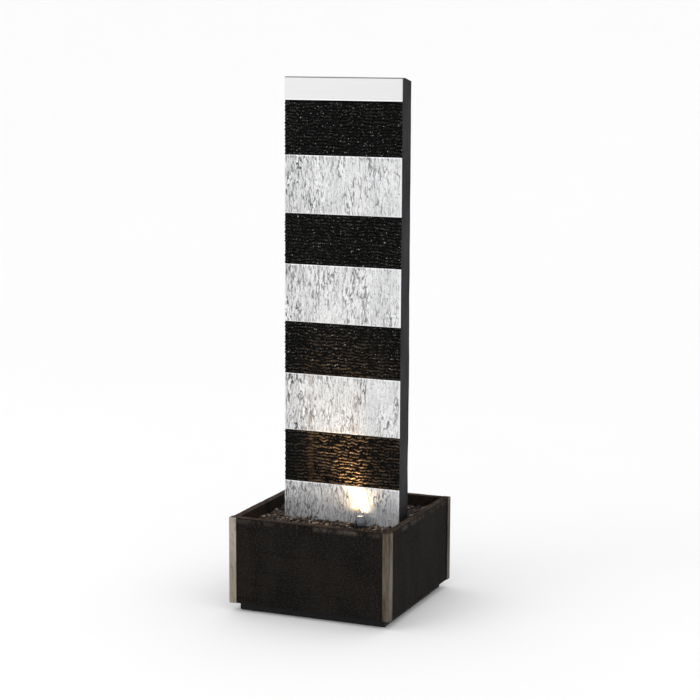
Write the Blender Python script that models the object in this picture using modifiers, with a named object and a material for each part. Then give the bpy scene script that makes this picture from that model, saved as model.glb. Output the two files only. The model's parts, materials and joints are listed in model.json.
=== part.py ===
"""Indoor water wall: a ridged slate slab banded with folded stainless pans, standing in a square
slate-panelled basin that hides a plastic reservoir, a submersible pump and a small spot lamp.

Metres, +Z up. X runs along the basin's front, +Y to the back. The origin is on the floor under
the middle of the basin."""

import math

import bmesh
import bpy
from mathutils import Matrix, Vector

# ---------------------------------------------------------------- driving dimensions

# clearances
GAP = 0.0003  # between pieces that seat on or beside each other
RUNNING_GAP = 0.0004  # between pieces that turn or slide on each other

# basin: four slate panels held by four stainless corner angles
BASIN_WIDTH = 0.350
BASIN_DEPTH = 0.350
BASIN_TOP = 0.196
PANEL_BOTTOM = 0.018
PANEL_THICKNESS = 0.015
ANGLE_LEG = 0.0155
ANGLE_THICKNESS = 0.0015

# reservoir, whose foot is the recessed plinth, and its feet
RESERVOIR_WALL = 0.003
RESERVOIR_FLOOR = 0.005
RESERVOIR_LIFT = 0.0015
FOOT_RADIUS = 0.011
FOOT_POCKET = 0.002
FOOT_INSET = 0.028

# gravel, its two-part tray and the bearers under it
GRAVEL_DROP = 0.021
GRAVEL_DEPTH = 0.020
TRAY_THICKNESS = 0.004
TRAY_SLOT_WIDTH = 0.0034
TRAY_SLOT_LENGTH = 0.024
TRAY_SLOT_PITCH = 0.015
TRAY_BORDER = 0.014
BEARER_LEG = 0.018
BEARER_THICKNESS = 0.002
BEARER_BOLT_RADIUS = 0.0025

# tower: slab, ridged bands and stainless pans
TOWER_LEFT_GAP = 0.0405
TOWER_RIGHT_GAP = 0.0160
TOWER_FRONT = -0.036
PAN_DEPTH = 0.003
PAN_WALL = 0.0012
PAN_FOLD_RADIUS = 0.0014
SLAB_THICKNESS = 0.0505
BACK_RELIEF = 0.005
BULGE_HEIGHT = 0.47
BULGE_REACH = 0.16
LAST_BAND_ABOVE_RIM = 0.0545
LAST_BAND_DIP = 0.030
STEEL_HEIGHT = 0.118
SLATE_HEIGHTS = (0.107, 0.107, 0.103, 0.1095)  # from the lowest ridged band to the highest
CAP_HEIGHT = 0.0465
CAP_FLANGE = 0.014
OUTLET_GAP = 0.003
TOP_FALL = 0.008
RIDGE_PITCH = 0.0067
RIDGE_PROUD = 0.0005
RIDGE_DEPTH = 0.0035
SHOE_THICKNESS = 0.002
SHOE_LIP = 0.022

# water path up the back of the slab
HOSE_RADIUS = 0.0065
HOSE_WALL = 0.0018
PIPE_WALL = 0.0013
CHANNEL_CLEARANCE = 0.0015
COVER_WIDTH = 0.034
COVER_THICKNESS = 0.0012
COVER_SCREW_RADIUS = 0.0016
OUTLET_POCKET_CHEEK = 0.008
OUTLET_POCKET_HEIGHT = 0.032
RISER_RISE = 0.0192
OUTLET_POCKET_DEPTH = 0.012
SPREADER_RADIUS = 0.005
SPREADER_STUB = 0.002
ELBOW_CLEARANCE = 0.0016
HOSE_BEND_RISE = 0.044
SPREADER_HOLES = 14
SPREADER_HOLE_RADIUS = 0.001
CLAMP_WIDTH = 0.007
CLAMP_THICKNESS = 0.0009

# pump, lying along X behind the slab
PUMP_LENGTH = 0.062
PUMP_WIDTH = 0.046
PUMP_HEIGHT = 0.044
PUMP_PAD_HEIGHT = 0.004
PUMP_WALL = 0.003
PUMP_STANDOFF = 0.006
VOLUTE_COVER_THICKNESS = 0.003
ROTOR_RADIUS = 0.0085
ROTOR_LENGTH = 0.022
IMPELLER_RADIUS = 0.014
IMPELLER_LENGTH = 0.007
IMPELLER_BLADES = 6
SHAFT_SOCKET_DEPTH = 0.0018
SHAFT_RADIUS = 0.0015
NOZZLE_HEIGHT = 0.018
STRAINER_LENGTH = 0.020
STRAINER_LAP = 0.006
STRAINER_WALL = 0.002
FLOW_DIAL_RADIUS = 0.0095
FLOW_DIAL_HEIGHT = 0.004
FLOW_PORT_OFFSET = 0.0062
FLOW_PORT_RADIUS = 0.0018
SLIT_COUNT = 5
SLIT_PITCH = 0.0068
SLIT_LENGTH = 0.009
SLIT_WIDTH = 0.0022
STATOR_LENGTH = 0.016

# spot lamp in the gravel
LAMP_OFFSET = 0.052  # from the tower's middle, towards +X
LAMP_STANDOFF = 0.021  # from the tower's front
LAMP_ABOVE_GRAVEL = 0.008
LAMP_RADIUS = 0.010
LAMP_ROOM_RADIUS = 0.0235
LAMP_WALL = 0.0015
LAMP_LENGTH = 0.014
LAMP_TURN = math.radians(32)
LAMP_TILT = math.radians(14)
LAMP_ARM_THICKNESS = 0.0012
LAMP_ARM_WIDTH = 0.008
LAMP_SCREW_RADIUS = 0.0012

# leads and the socket in the back panel
LEAD_RADIUS = 0.0016
SOCKET_RADIUS = 0.0075
SOCKET_FLANGE_RADIUS = 0.0105
SOCKET_PIN_OFFSET = 0.0036
SOCKET_PIN_RADIUS = 0.0006
SOCKET_FLANGE = 0.0012
SOCKET_OFFSET = 0.045  # from the basin's right inner wall, towards -X

# ---------------------------------------------------------------- places worked out from them

half_width = BASIN_WIDTH / 2
half_depth = BASIN_DEPTH / 2
panel_inset = ANGLE_THICKNESS + GAP
liner_inset = panel_inset + PANEL_THICKNESS + GAP
reservoir_x = half_width - liner_inset
reservoir_y = half_depth - liner_inset
inside_x = reservoir_x - RESERVOIR_WALL
inside_y = reservoir_y - RESERVOIR_WALL
floor_z = RESERVOIR_LIFT + RESERVOIR_FLOOR

gravel_top = BASIN_TOP - GRAVEL_DROP
tray_top = gravel_top - GRAVEL_DEPTH
tray_bottom = tray_top - TRAY_THICKNESS
reservoir_top = tray_bottom - GAP

tower_left = -inside_x + TOWER_LEFT_GAP
tower_right = inside_x - TOWER_RIGHT_GAP
tower_middle = (tower_left + tower_right) / 2
seat_y = TOWER_FRONT + PAN_DEPTH
slab_back = seat_y + SLAB_THICKNESS
slab_bottom = floor_z + SHOE_THICKNESS + 2 * GAP
last_band_top = BASIN_TOP + LAST_BAND_ABOVE_RIM
tower_top = last_band_top + sum(SLATE_HEIGHTS) + (len(SLATE_HEIGHTS) - 1) * STEEL_HEIGHT + CAP_HEIGHT
cap_bottom = tower_top - CAP_HEIGHT
outlet_z = cap_bottom - OUTLET_GAP

channel_half = HOSE_RADIUS + CHANNEL_CLEARANCE
cover_back = slab_back - BACK_RELIEF
cover_front = cover_back - COVER_THICKNESS
channel_back = cover_front - GAP
channel_front = channel_back - 2 * channel_half
channel_y = (channel_back + channel_front) / 2
cover_screw_x = tower_middle - (COVER_WIDTH / 2 + channel_half) / 2
riser_top = outlet_z + RISER_RISE
stub_end = seat_y + OUTLET_POCKET_DEPTH + SPREADER_STUB
barb_radius = HOSE_RADIUS - HOSE_WALL - GAP
elbow_radius = channel_half - ELBOW_CLEARANCE

pump_y = slab_back + PUMP_STANDOFF + PUMP_WIDTH / 2
pump_bottom = floor_z + GAP + PUMP_PAD_HEIGHT + GAP
pump_z = pump_bottom + PUMP_HEIGHT / 2
pump_top = pump_bottom + PUMP_HEIGHT
chamber_radius = IMPELLER_RADIUS + 0.0015
chamber_length = IMPELLER_LENGTH + 2 * RUNNING_GAP
nozzle_y = slab_back + PUMP_STANDOFF + barb_radius + PUMP_WALL
volute_face = tower_middle - VOLUTE_COVER_THICKNESS - GAP - chamber_length / 2
pump_face = volute_face - STRAINER_LAP  # the neck's open -X end
pump_back = pump_face + PUMP_LENGTH

lamp_x = tower_middle + LAMP_OFFSET
lamp_y = TOWER_FRONT - LAMP_STANDOFF
lamp_z = gravel_top + LAMP_ABOVE_GRAVEL
socket_x = inside_x - SOCKET_OFFSET
socket_z = tray_top + SOCKET_FLANGE_RADIUS - 0.001

PARTS = "water_wall"
CUTTERS = "cutters"

FINISHES = {  # base colour, roughness, metallic
    "slate": ((0.022, 0.020, 0.019), 0.60, 0.0),
    "stainless": ((0.62, 0.62, 0.62), 0.28, 1.0),
    "black_plastic": ((0.012, 0.012, 0.013), 0.45, 0.0),
    "rubber": ((0.020, 0.020, 0.020), 0.80, 0.0),
    "gravel": ((0.080, 0.055, 0.042), 0.70, 0.0),
    "clear_hose": ((0.350, 0.360, 0.370), 0.20, 0.0),
    "pump_plastic": ((0.015, 0.017, 0.018), 0.40, 0.0),
    "ceramic": ((0.800, 0.780, 0.740), 0.25, 0.0),
    "magnet": ((0.060, 0.060, 0.065), 0.50, 0.3),
    "lamp_grey": ((0.190, 0.200, 0.220), 0.35, 0.9),
    "lens": ((0.900, 0.860, 0.760), 0.10, 0.0),
    "emitter": ((0.900, 0.700, 0.300), 0.40, 0.0),
}


# ---------------------------------------------------------------- modelling helpers


def clear_scene():
    for item in list(bpy.data.objects):
        bpy.data.objects.remove(item, do_unlink=True)
    for name in (PARTS, CUTTERS):
        group = bpy.data.collections.get(name) or bpy.data.collections.new(name)
        if group.name not in bpy.context.scene.collection.children:
            bpy.context.scene.collection.children.link(group)


def finish_material(name, finish):
    colour, roughness, metallic = FINISHES[finish]
    material = bpy.data.materials.new(name)
    material.use_nodes = True
    shader = material.node_tree.nodes["Principled BSDF"]
    shader.inputs["Base Color"].default_value = (*colour, 1.0)
    shader.inputs["Roughness"].default_value = roughness
    shader.inputs["Metallic"].default_value = metallic
    return material


def add_object(name, data, finish=None):
    """Link new mesh or curve data as a part, or as a wire cutter when no finish is given."""
    item = bpy.data.objects.new(name, data)
    bpy.data.collections[PARTS if finish else CUTTERS].objects.link(item)
    if finish:
        data.materials.append(finish_material(name, finish))
    else:
        item.hide_render = True
        item.display_type = "WIRE"
    return item


def mesh_object(name, bm, finish=None, smooth=False):
    mesh = bpy.data.meshes.new(name)
    bmesh.ops.recalc_face_normals(bm, faces=bm.faces)
    bm.to_mesh(mesh)
    bm.free()
    if smooth:
        mesh.shade_smooth()
        mesh.set_sharp_from_angle(angle=math.radians(35))
    return add_object(name, mesh, finish)


def box(name, low, high, finish=None, origin=(0.0, 0.0, 0.0)):
    """A cuboid between two world corners, with its object origin where it is asked for."""
    low, high, origin = Vector(low), Vector(high), Vector(origin)
    bm = bmesh.new()
    bmesh.ops.create_cube(bm, size=1.0)
    size = Matrix.Diagonal((*(high - low), 1.0))
    bmesh.ops.transform(bm, matrix=Matrix.Translation((low + high) / 2 - origin) @ size, verts=bm.verts)
    item = mesh_object(name, bm, finish)
    item.location = origin
    return item


def turn_to(axis):
    """Rotation that takes +Z to the given axis."""
    return Vector((0.0, 0.0, 1.0)).rotation_difference(Vector(axis)).to_matrix().to_4x4()


def rod(name, start, end, radius, finish=None, segments=24, end_radius=None, origin=(0.0, 0.0, 0.0)):
    """A closed cylinder or cone between two world points."""
    start, end, origin = Vector(start), Vector(end), Vector(origin)
    bm = bmesh.new()
    bmesh.ops.create_cone(
        bm,
        cap_ends=True,
        segments=segments,
        radius1=radius,
        radius2=radius if end_radius is None else end_radius,
        depth=(end - start).length,
    )
    place = Matrix.Translation((start + end) / 2 - origin) @ turn_to(end - start)
    bmesh.ops.transform(bm, matrix=place, verts=bm.verts)
    item = mesh_object(name, bm, finish, smooth=finish is not None)
    item.location = origin
    return item


def outline(name, points, extent, place, finish=None):
    """A closed 2D outline with its thickness centred on its plane, made a mesh and placed."""
    curve = bpy.data.curves.new(name, "CURVE")
    curve.dimensions = "2D"
    curve.fill_mode = "BOTH"
    curve.extrude = extent / 2
    spline = curve.splines.new("POLY")
    spline.points.add(len(points) - 1)
    for point, (u, v) in zip(spline.points, points):
        point.co = (u, v, 0.0, 1.0)
    spline.use_cyclic_u = True
    return curve_to_mesh(name, curve, place, finish)


def curve_to_mesh(name, curve, place, finish):
    """Evaluate a curve, weld its loose caps and keep the mesh."""
    guide = bpy.data.objects.new(name + "_guide", curve)
    bpy.context.scene.collection.objects.link(guide)
    evaluated = guide.evaluated_get(bpy.context.evaluated_depsgraph_get())
    mesh = bpy.data.meshes.new_from_object(evaluated)
    bpy.data.objects.remove(guide, do_unlink=True)
    bpy.data.curves.remove(curve)
    bm = bmesh.new()
    bm.from_mesh(mesh)
    bpy.data.meshes.remove(mesh)
    bmesh.ops.remove_doubles(bm, verts=bm.verts, dist=0.00001)
    bmesh.ops.transform(bm, matrix=place, verts=bm.verts)
    return mesh_object(name, bm, finish, smooth=True)


# outline planes: (u, v) becomes (Y, Z) along X, or (X, Z) along Y
ALONG_X = Matrix(((0, 0, 1, 0), (1, 0, 0, 0), (0, 1, 0, 0), (0, 0, 0, 1)))


def swept(name, points, radius, finish, wall=0.0, sides=12):
    """A round bar along hand-placed points, or an open-ended tube when it has a wall."""
    curve = bpy.data.curves.new(name, "CURVE")
    curve.dimensions = "3D"
    curve.bevel_depth = radius
    curve.bevel_resolution = sides // 2 - 2
    curve.use_fill_caps = wall == 0.0
    spline = curve.splines.new("POLY")
    spline.points.add(len(points) - 1)
    for point, place in zip(spline.points, points):
        point.co = (*place, 1.0)
    item = curve_to_mesh(name, curve, Matrix.Identity(4), finish)
    if wall:
        solidify = item.modifiers.new("wall", "SOLIDIFY")
        solidify.thickness = wall
        solidify.offset = -1.0
        solidify.use_even_offset = True
    return item


def smooth_route(knots, step):
    """Points about one step apart on a Catmull-Rom curve through the knots."""
    knots = [Vector(knot) for knot in knots]
    ends = [2 * knots[0] - knots[1], *knots, 2 * knots[-1] - knots[-2]]
    route = []
    for before, start, end, after in zip(ends, ends[1:], ends[2:], ends[3:]):
        count = max(1, round((end - start).length / step))
        for index in range(count):
            t = index / count
            route.append(
                0.5
                * (
                    2 * start
                    + (end - before) * t
                    + (2 * before - 5 * start + 4 * end - after) * t**2
                    + (3 * start - before - 3 * end + after) * t**3
                )
            )
    route.append(knots[-1])
    return route


def turned(name, profile, finish, axis=(0, 0, 1), origin=(0, 0, 0), segments=24):
    """A full turn of a closed (radius, height) profile about an axis through the origin."""
    bm = bmesh.new()
    ring = [bm.verts.new((radius, 0.0, height)) for radius, height in profile]
    edges = [bm.edges.new((ring[i], ring[(i + 1) % len(ring)])) for i in range(len(ring))]
    bmesh.ops.spin(
        bm,
        geom=ring + edges,
        cent=(0, 0, 0),
        axis=(0, 0, 1),
        angle=math.tau,
        steps=segments,
        use_merge=True,
    )
    bmesh.ops.remove_doubles(bm, verts=bm.verts, dist=0.00001)
    bmesh.ops.transform(bm, matrix=turn_to(axis), verts=bm.verts)
    item = mesh_object(name, bm, finish, smooth=True)
    item.location = origin
    return item


def cut(item, *cutters):
    for cutter in cutters:
        modifier = item.modifiers.new(cutter.name, "BOOLEAN")
        modifier.operation = "DIFFERENCE"
        modifier.solver = "EXACT"
        modifier.object = cutter


def join(item, *additions):
    for addition in additions:
        modifier = item.modifiers.new(addition.name, "BOOLEAN")
        modifier.operation = "UNION"
        modifier.solver = "EXACT"
        modifier.object = addition


def pan(name, low, high, finish, open_side):
    """A folded sheet pan: a box open on one side, with rounded folds and a wall."""
    low, high = Vector(low), Vector(high)
    bm = bmesh.new()
    bmesh.ops.create_cube(bm, size=1.0)
    size = Matrix.Diagonal((*(high - low), 1.0))
    bmesh.ops.transform(bm, matrix=Matrix.Translation((low + high) / 2) @ size, verts=bm.verts)
    bm.normal_update()
    missing = [face for face in bm.faces if face.normal.dot(Vector(open_side)) > 0.5]
    bmesh.ops.delete(bm, geom=missing, context="FACES")
    item = mesh_object(name, bm, finish)
    fold = item.modifiers.new("folds", "BEVEL")
    fold.width = PAN_FOLD_RADIUS
    fold.segments = 2
    fold.limit_method = "ANGLE"
    wall = item.modifiers.new("sheet", "SOLIDIFY")
    wall.thickness = PAN_WALL
    wall.offset = -1.0
    wall.use_even_offset = True
    return item


def soften(item, width, segments=1):
    bevel = item.modifiers.new("edges", "BEVEL")
    bevel.width = width
    bevel.segments = segments
    bevel.limit_method = "ANGLE"
    bevel.angle_limit = math.radians(60)


# ---------------------------------------------------------------- basin


def slate_panels():
    """Front and back run the full width; the side panels stand between them."""
    long_x = half_width - panel_inset
    outer_y = half_depth - panel_inset
    inner_y = outer_y - PANEL_THICKNESS
    inner_x = long_x - PANEL_THICKNESS
    side_y = inner_y - GAP
    spans = {
        "slate_panel_front": ((-long_x, -outer_y), (long_x, -inner_y)),
        "slate_panel_back": ((-long_x, inner_y), (long_x, outer_y)),
        "slate_panel_left": ((-long_x, -side_y), (-inner_x, side_y)),
        "slate_panel_right": ((inner_x, -side_y), (long_x, side_y)),
    }
    panels = {}
    for name, (low, high) in spans.items():
        panels[name] = box(name, (*low, PANEL_BOTTOM), (*high, BASIN_TOP), "slate")
        soften(panels[name], 0.0008)
    hole = rod(
        "cut_socket_hole",
        (socket_x, half_depth - liner_inset - 0.01, socket_z),
        (socket_x, half_depth + 0.01, socket_z),
        SOCKET_RADIUS + GAP,
    )
    cut(panels["slate_panel_back"], hole)


def corner_angles():
    leg, wall = ANGLE_LEG, ANGLE_THICKNESS
    for name, side_x, side_y in (
        ("front_left", -1, -1),
        ("front_right", 1, -1),
        ("back_left", -1, 1),
        ("back_right", 1, 1),
    ):
        corner_x, corner_y = side_x * half_width, side_y * half_depth
        points = [
            (corner_x - side_x * u, corner_y - side_y * v)
            for u, v in ((0, 0), (leg, 0), (leg, wall), (wall, wall), (wall, leg), (0, leg))
        ]
        place = Matrix.Translation((0, 0, (BASIN_TOP + PANEL_BOTTOM) / 2))
        outline("corner_angle_" + name, points, BASIN_TOP - PANEL_BOTTOM, place, "stainless")


def reservoir():
    tub = box(
        "reservoir",
        (-reservoir_x, -reservoir_y, RESERVOIR_LIFT),
        (reservoir_x, reservoir_y, reservoir_top),
        "black_plastic",
    )
    hollow = box(
        "cut_reservoir_hollow",
        (-inside_x, -inside_y, floor_z),
        (inside_x, inside_y, reservoir_top + 0.01),
    )
    cut(tub, hollow)
    notch = BEARER_LEG + GAP
    for side, y_low, y_high in (
        ("front", TOWER_FRONT - GAP - notch, TOWER_FRONT),
        ("rear", slab_back, slab_back + GAP + notch),
    ):
        slot = box(
            "cut_bearer_notch_" + side,
            (-reservoir_x - 0.01, y_low, reservoir_top - BEARER_LEG - GAP),
            (reservoir_x + 0.01, y_high, reservoir_top + 0.01),
        )
        cut(tub, slot)
    index = 0
    for side_x in (-1, 1):
        for side_y in (-1, 1):
            index += 1
            x = side_x * (reservoir_x - FOOT_INSET)
            y = side_y * (reservoir_y - FOOT_INSET)
            pocket_top = RESERVOIR_LIFT + FOOT_POCKET
            pocket = rod(
                f"cut_foot_pocket_{index}",
                (x, y, RESERVOIR_LIFT - 0.01),
                (x, y, pocket_top),
                FOOT_RADIUS + GAP,
                segments=20,
            )
            cut(tub, pocket)
            rod(
                f"rubber_foot_{index}",
                (x, y, 0.0),
                (x, y, pocket_top - GAP),
                FOOT_RADIUS,
                "rubber",
                segments=20,
            )


def bearers():
    """Two stainless angles that carry the trays and steady the slab, with two bolts between."""
    leg, wall = BEARER_LEG, BEARER_THICKNESS
    bolt_z = reservoir_top - leg / 2 - wall / 2
    bars = {}
    for name, face, away in (
        ("tray_bearer_front", TOWER_FRONT - GAP, -1),
        ("tray_bearer_rear", slab_back + GAP, 1),
    ):
        points = [
            (face + away * u, reservoir_top - v)
            for u, v in ((0, 0), (leg, 0), (leg, wall), (wall, wall), (wall, leg), (0, leg))
        ]
        bars[name] = outline(name, points, 2 * reservoir_x, ALONG_X, "stainless")
    head = 1.7 * BEARER_BOLT_RADIUS
    head_y = TOWER_FRONT - GAP - wall - GAP
    tip_y = slab_back + GAP + wall + 0.004
    for name, x in (
        ("bearer_bolt_left", tower_left - TOWER_RIGHT_GAP / 2),
        ("bearer_bolt_right", tower_right + TOWER_RIGHT_GAP / 2),
    ):
        profile = [
            (0, 0),
            (head, 0),
            (head, 2 * BEARER_BOLT_RADIUS),
            (BEARER_BOLT_RADIUS, 2 * BEARER_BOLT_RADIUS),
            (BEARER_BOLT_RADIUS, tip_y - head_y + 2 * BEARER_BOLT_RADIUS),
            (0, tip_y - head_y + 2 * BEARER_BOLT_RADIUS),
        ]
        start = (x, head_y - 2 * BEARER_BOLT_RADIUS, bolt_z)
        turned(name, profile, "stainless", axis=(0, 1, 0), origin=start, segments=16)
        hole = rod(
            "cut_" + name,
            (x, head_y - 0.01, bolt_z),
            (x, tip_y + 0.01, bolt_z),
            BEARER_BOLT_RADIUS + GAP,
            segments=16,
        )
        cut(bars["tray_bearer_front"], hole)
        cut(bars["tray_bearer_rear"], hole)


def tray_and_gravel():
    """The tray and the gravel on it are split at the slab, so the rear half lifts out."""
    split = (seat_y + slab_back) / 2
    edge = reservoir_x
    tower_room = (
        (tower_left - 2 * GAP, TOWER_FRONT - RIDGE_PROUD - 2 * GAP),
        (tower_right + 2 * GAP, slab_back + 2 * GAP),
    )
    halves = {
        "front": (-reservoir_y, split - RUNNING_GAP),
        "rear": (split + RUNNING_GAP, reservoir_y),
    }
    for half, (y_low, y_high) in halves.items():
        tray = box(
            "gravel_tray_" + half, (-edge, y_low, tray_bottom), (edge, y_high, tray_top), "black_plastic"
        )
        bed = box(
            "gravel_bed_" + half,
            (-edge, y_low, tray_top + GAP),
            (edge, y_high, gravel_top),
            "gravel",
        )
        gap_for_tower = box(
            "cut_tower_gap_" + half,
            (*tower_room[0], tray_bottom - 0.01),
            (*tower_room[1], gravel_top + 0.01),
        )
        cut(tray, gap_for_tower)
        cut(bed, gap_for_tower)
        if half == "front":
            open_low = y_low + TRAY_BORDER
            open_high = tower_room[0][1] - TRAY_BORDER - BEARER_LEG / 2
            lamp_notch(tray, bed)
        else:
            open_low = tower_room[1][1] + TRAY_BORDER + BEARER_LEG / 2
            open_high = y_high - TRAY_BORDER
            socket_notch(tray, bed)
        tray_slots(tray, half, open_low, open_high)


def tray_slots(tray, half, y_low, y_high):
    """Rows of narrow drain slots, all cut by one comb of joined bars."""
    rows = max(1, int((y_high - y_low) // (TRAY_SLOT_LENGTH + 0.008)))
    row_pitch = (y_high - y_low) / rows
    columns = int((2 * reservoir_x - 2 * TRAY_BORDER) // TRAY_SLOT_PITCH)
    cutter = bmesh.new()
    for row in range(rows):
        for column in range(columns + 1):
            x = (column - columns / 2) * TRAY_SLOT_PITCH
            y = y_low + (row + 0.5) * row_pitch
            if slot_is_blocked(half, x, y):
                continue
            place = Matrix.Translation((x, y, (tray_top + tray_bottom) / 2))
            size = Matrix.Diagonal((TRAY_SLOT_WIDTH, TRAY_SLOT_LENGTH, 3 * TRAY_THICKNESS, 1.0))
            bmesh.ops.create_cube(cutter, size=1.0, matrix=place @ size)
    cut(tray, mesh_object("cut_tray_slots_" + half, cutter))


def slot_is_blocked(half, x, y):
    """Keep the slots clear of the lamp's foot and of the notch behind the socket."""
    reach = TRAY_SLOT_LENGTH / 2 + 0.004
    if half == "front":
        return abs(x - lamp_x) < 0.024 and abs(y - lamp_y) < 0.016 + reach
    return abs(x - socket_x) < 0.024 and y > reservoir_y - 0.030 - reach


def lamp_notch(tray, bed):
    room = rod(
        "cut_lamp_room",
        (lamp_x, lamp_y, tray_top + GAP / 2),
        (lamp_x, lamp_y, gravel_top + 0.01),
        1.55 * LAMP_RADIUS,
        end_radius=LAMP_ROOM_RADIUS,
        segments=20,
    )
    cut(bed, room)
    lead_hole = rod(
        "cut_lamp_lead_hole",
        (lamp_x, lamp_y, tray_bottom - 0.01),
        (lamp_x, lamp_y, tray_top + 0.01),
        LEAD_RADIUS + 2 * GAP,
        segments=16,
    )
    cut(tray, lead_hole)


def socket_notch(tray, bed):
    socket_half = SOCKET_FLANGE_RADIUS + 4 * GAP
    socket_room = box(
        "cut_socket_room",
        (socket_x - socket_half, reservoir_y - 0.022, tray_bottom - 0.01),
        (socket_x + socket_half, reservoir_y + 0.01, gravel_top + 0.01),
    )
    cut(tray, socket_room)
    cut(bed, socket_room)


# ---------------------------------------------------------------- tower


def band_levels():
    """(low, high) of the ridged bands and of the steel bands above them, lowest first."""
    slate, steel = [], []
    level = last_band_top
    for index, height in enumerate(SLATE_HEIGHTS):
        slate.append((level, level + height))
        level += height
        if index < len(SLATE_HEIGHTS) - 1:
            steel.append((level, level + STEEL_HEIGHT))
            level += STEEL_HEIGHT
    slate[-1] = (slate[-1][0], outlet_z)
    return slate, steel


def ridge_outline(low, high):
    """Sawn ridges up one band: flat lands with a slanted groove between each pair."""
    peak = TOWER_FRONT - RIDGE_PROUD
    valley = peak + RIDGE_DEPTH
    count = round((high - low) / RIDGE_PITCH)
    pitch = (high - low) / count
    points = [(seat_y, low)]
    for index in range(count):
        base = low + index * pitch
        points.append((peak, base + (0.10 * pitch if index else 0.0)))
        points.append((peak, base + 0.52 * pitch))
        if index < count - 1:
            points.append((valley, base + 0.66 * pitch))
            points.append((valley, base + 0.92 * pitch))
    points.append((peak, high))
    points.append((seat_y, high))
    return points


def slab_outline():
    slate, _ = band_levels()
    flange_z = tower_top - PAN_WALL - GAP
    flange_y = TOWER_FRONT + CAP_FLANGE + GAP
    points = [(seat_y, slab_bottom)]
    for low, high in slate:
        points += ridge_outline(low, high)
    points += [(seat_y, flange_z), (flange_y, flange_z), (flange_y, tower_top)]
    points.append((flange_y + 0.006, tower_top))
    back_top = tower_top - TOP_FALL
    steps = 24
    for index in range(steps + 1):
        z = back_top + (slab_bottom - back_top) * index / steps
        waste = min(1.0, abs(z - BULGE_HEIGHT) / BULGE_REACH) * (0.72 + 0.23 * math.cos(index * 1.9))
        points.append((slab_back - BACK_RELIEF * waste, z))
    return points


def tower_slab():
    width = tower_right - tower_left
    place = Matrix.Translation((tower_middle, 0, 0)) @ ALONG_X
    slab = outline("tower_slab", slab_outline(), width, place, "slate")
    channel = box(
        "cut_riser_channel",
        (tower_middle - channel_half, channel_front, slab_bottom - 0.01),
        (tower_middle + channel_half, slab_back + 0.01, riser_top + channel_half),
    )
    cover_seat = box(
        "cut_cover_seat",
        (tower_middle - COVER_WIDTH / 2 - GAP, cover_front - GAP, cover_bottom() - GAP),
        (tower_middle + COVER_WIDTH / 2 + GAP, slab_back + 0.01, cover_top() + GAP),
    )
    pocket = box(
        "cut_outlet_pocket",
        (tower_left + OUTLET_POCKET_CHEEK, TOWER_FRONT - 0.01, outlet_z),
        (
            tower_right - OUTLET_POCKET_CHEEK,
            seat_y + OUTLET_POCKET_DEPTH,
            outlet_z + OUTLET_POCKET_HEIGHT,
        ),
    )
    passage = rod(
        "cut_riser_passage",
        (tower_middle, seat_y, riser_top),
        (tower_middle, channel_back, riser_top),
        barb_radius + 2 * GAP,
    )
    cut(slab, channel, cover_seat, pocket, passage)
    for index, z in enumerate(cover_screw_levels()):
        hole = rod(
            f"cut_cover_screw_{index}",
            (cover_screw_x, cover_front - 0.012, z),
            (cover_screw_x, slab_back + 0.01, z),
            COVER_SCREW_RADIUS + GAP,
            segments=16,
        )
        cut(slab, hole)


def cover_bottom():
    return pump_top + NOZZLE_HEIGHT + HOSE_BEND_RISE + 0.004


def cover_top():
    return tower_top - TOP_FALL - 0.012


def cover_screw_levels():
    return gravel_top + 0.060, cover_top() - 0.030


def riser_cover():
    strip = box(
        "riser_channel_cover",
        (tower_middle - COVER_WIDTH / 2, cover_front, cover_bottom()),
        (tower_middle + COVER_WIDTH / 2, cover_back, cover_top()),
        "stainless",
    )
    for name, z in zip(("cover_screw_lower", "cover_screw_upper"), cover_screw_levels()):
        x = cover_screw_x
        radius = COVER_SCREW_RADIUS
        profile = [
            (0, -0.010),
            (radius, -0.010),
            (radius, COVER_THICKNESS + GAP),
            (1.9 * radius, COVER_THICKNESS + GAP),
            (1.6 * radius, COVER_THICKNESS + GAP + 0.0012),
            (0, COVER_THICKNESS + GAP + 0.0014),
        ]
        turned(name, profile, "stainless", axis=(0, 1, 0), origin=(x, cover_front, z), segments=16)
        hole = rod(
            "cut_" + name, (x, cover_front - 0.01, z), (x, cover_back + 0.01, z), radius + GAP, segments=16
        )
        cut(strip, hole)


def steel_bands():
    _, steel = band_levels()
    levels = [(reservoir_top - LAST_BAND_DIP, last_band_top)] + steel
    for index, (low, high) in enumerate(reversed(levels), start=1):
        pan(
            f"steel_band_{index}",
            (tower_left, TOWER_FRONT, low + GAP),
            (tower_right, seat_y - GAP, high - GAP),
            "stainless",
            (0, 1, 0),
        )


def top_cap():
    """A pan over the outlet pocket whose top flange hooks back over the slab."""
    cap = pan(
        "top_cap",
        (tower_left, TOWER_FRONT, cap_bottom),
        (tower_right, seat_y - GAP, tower_top),
        "stainless",
        (0, 1, 0),
    )
    flange = box(
        "join_cap_flange",
        (tower_left, TOWER_FRONT + PAN_DEPTH / 2, tower_top - PAN_WALL),
        (tower_right, TOWER_FRONT + CAP_FLANGE, tower_top),
    )
    join(cap, flange)


def tower_shoe():
    lip = SHOE_LIP
    low_y = seat_y - GAP - SHOE_THICKNESS
    high_y = slab_back + GAP + SHOE_THICKNESS
    base = floor_z + GAP
    points = [
        (low_y, base),
        (high_y, base),
        (high_y, base + lip),
        (high_y - SHOE_THICKNESS, base + lip),
        (high_y - SHOE_THICKNESS, base + SHOE_THICKNESS),
        (low_y + SHOE_THICKNESS, base + SHOE_THICKNESS),
        (low_y + SHOE_THICKNESS, base + lip),
        (low_y, base + lip),
    ]
    place = Matrix.Translation((tower_middle, 0, 0)) @ ALONG_X
    outline("tower_shoe", points, tower_right - tower_left, place, "stainless")


# ---------------------------------------------------------------- water path


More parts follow.
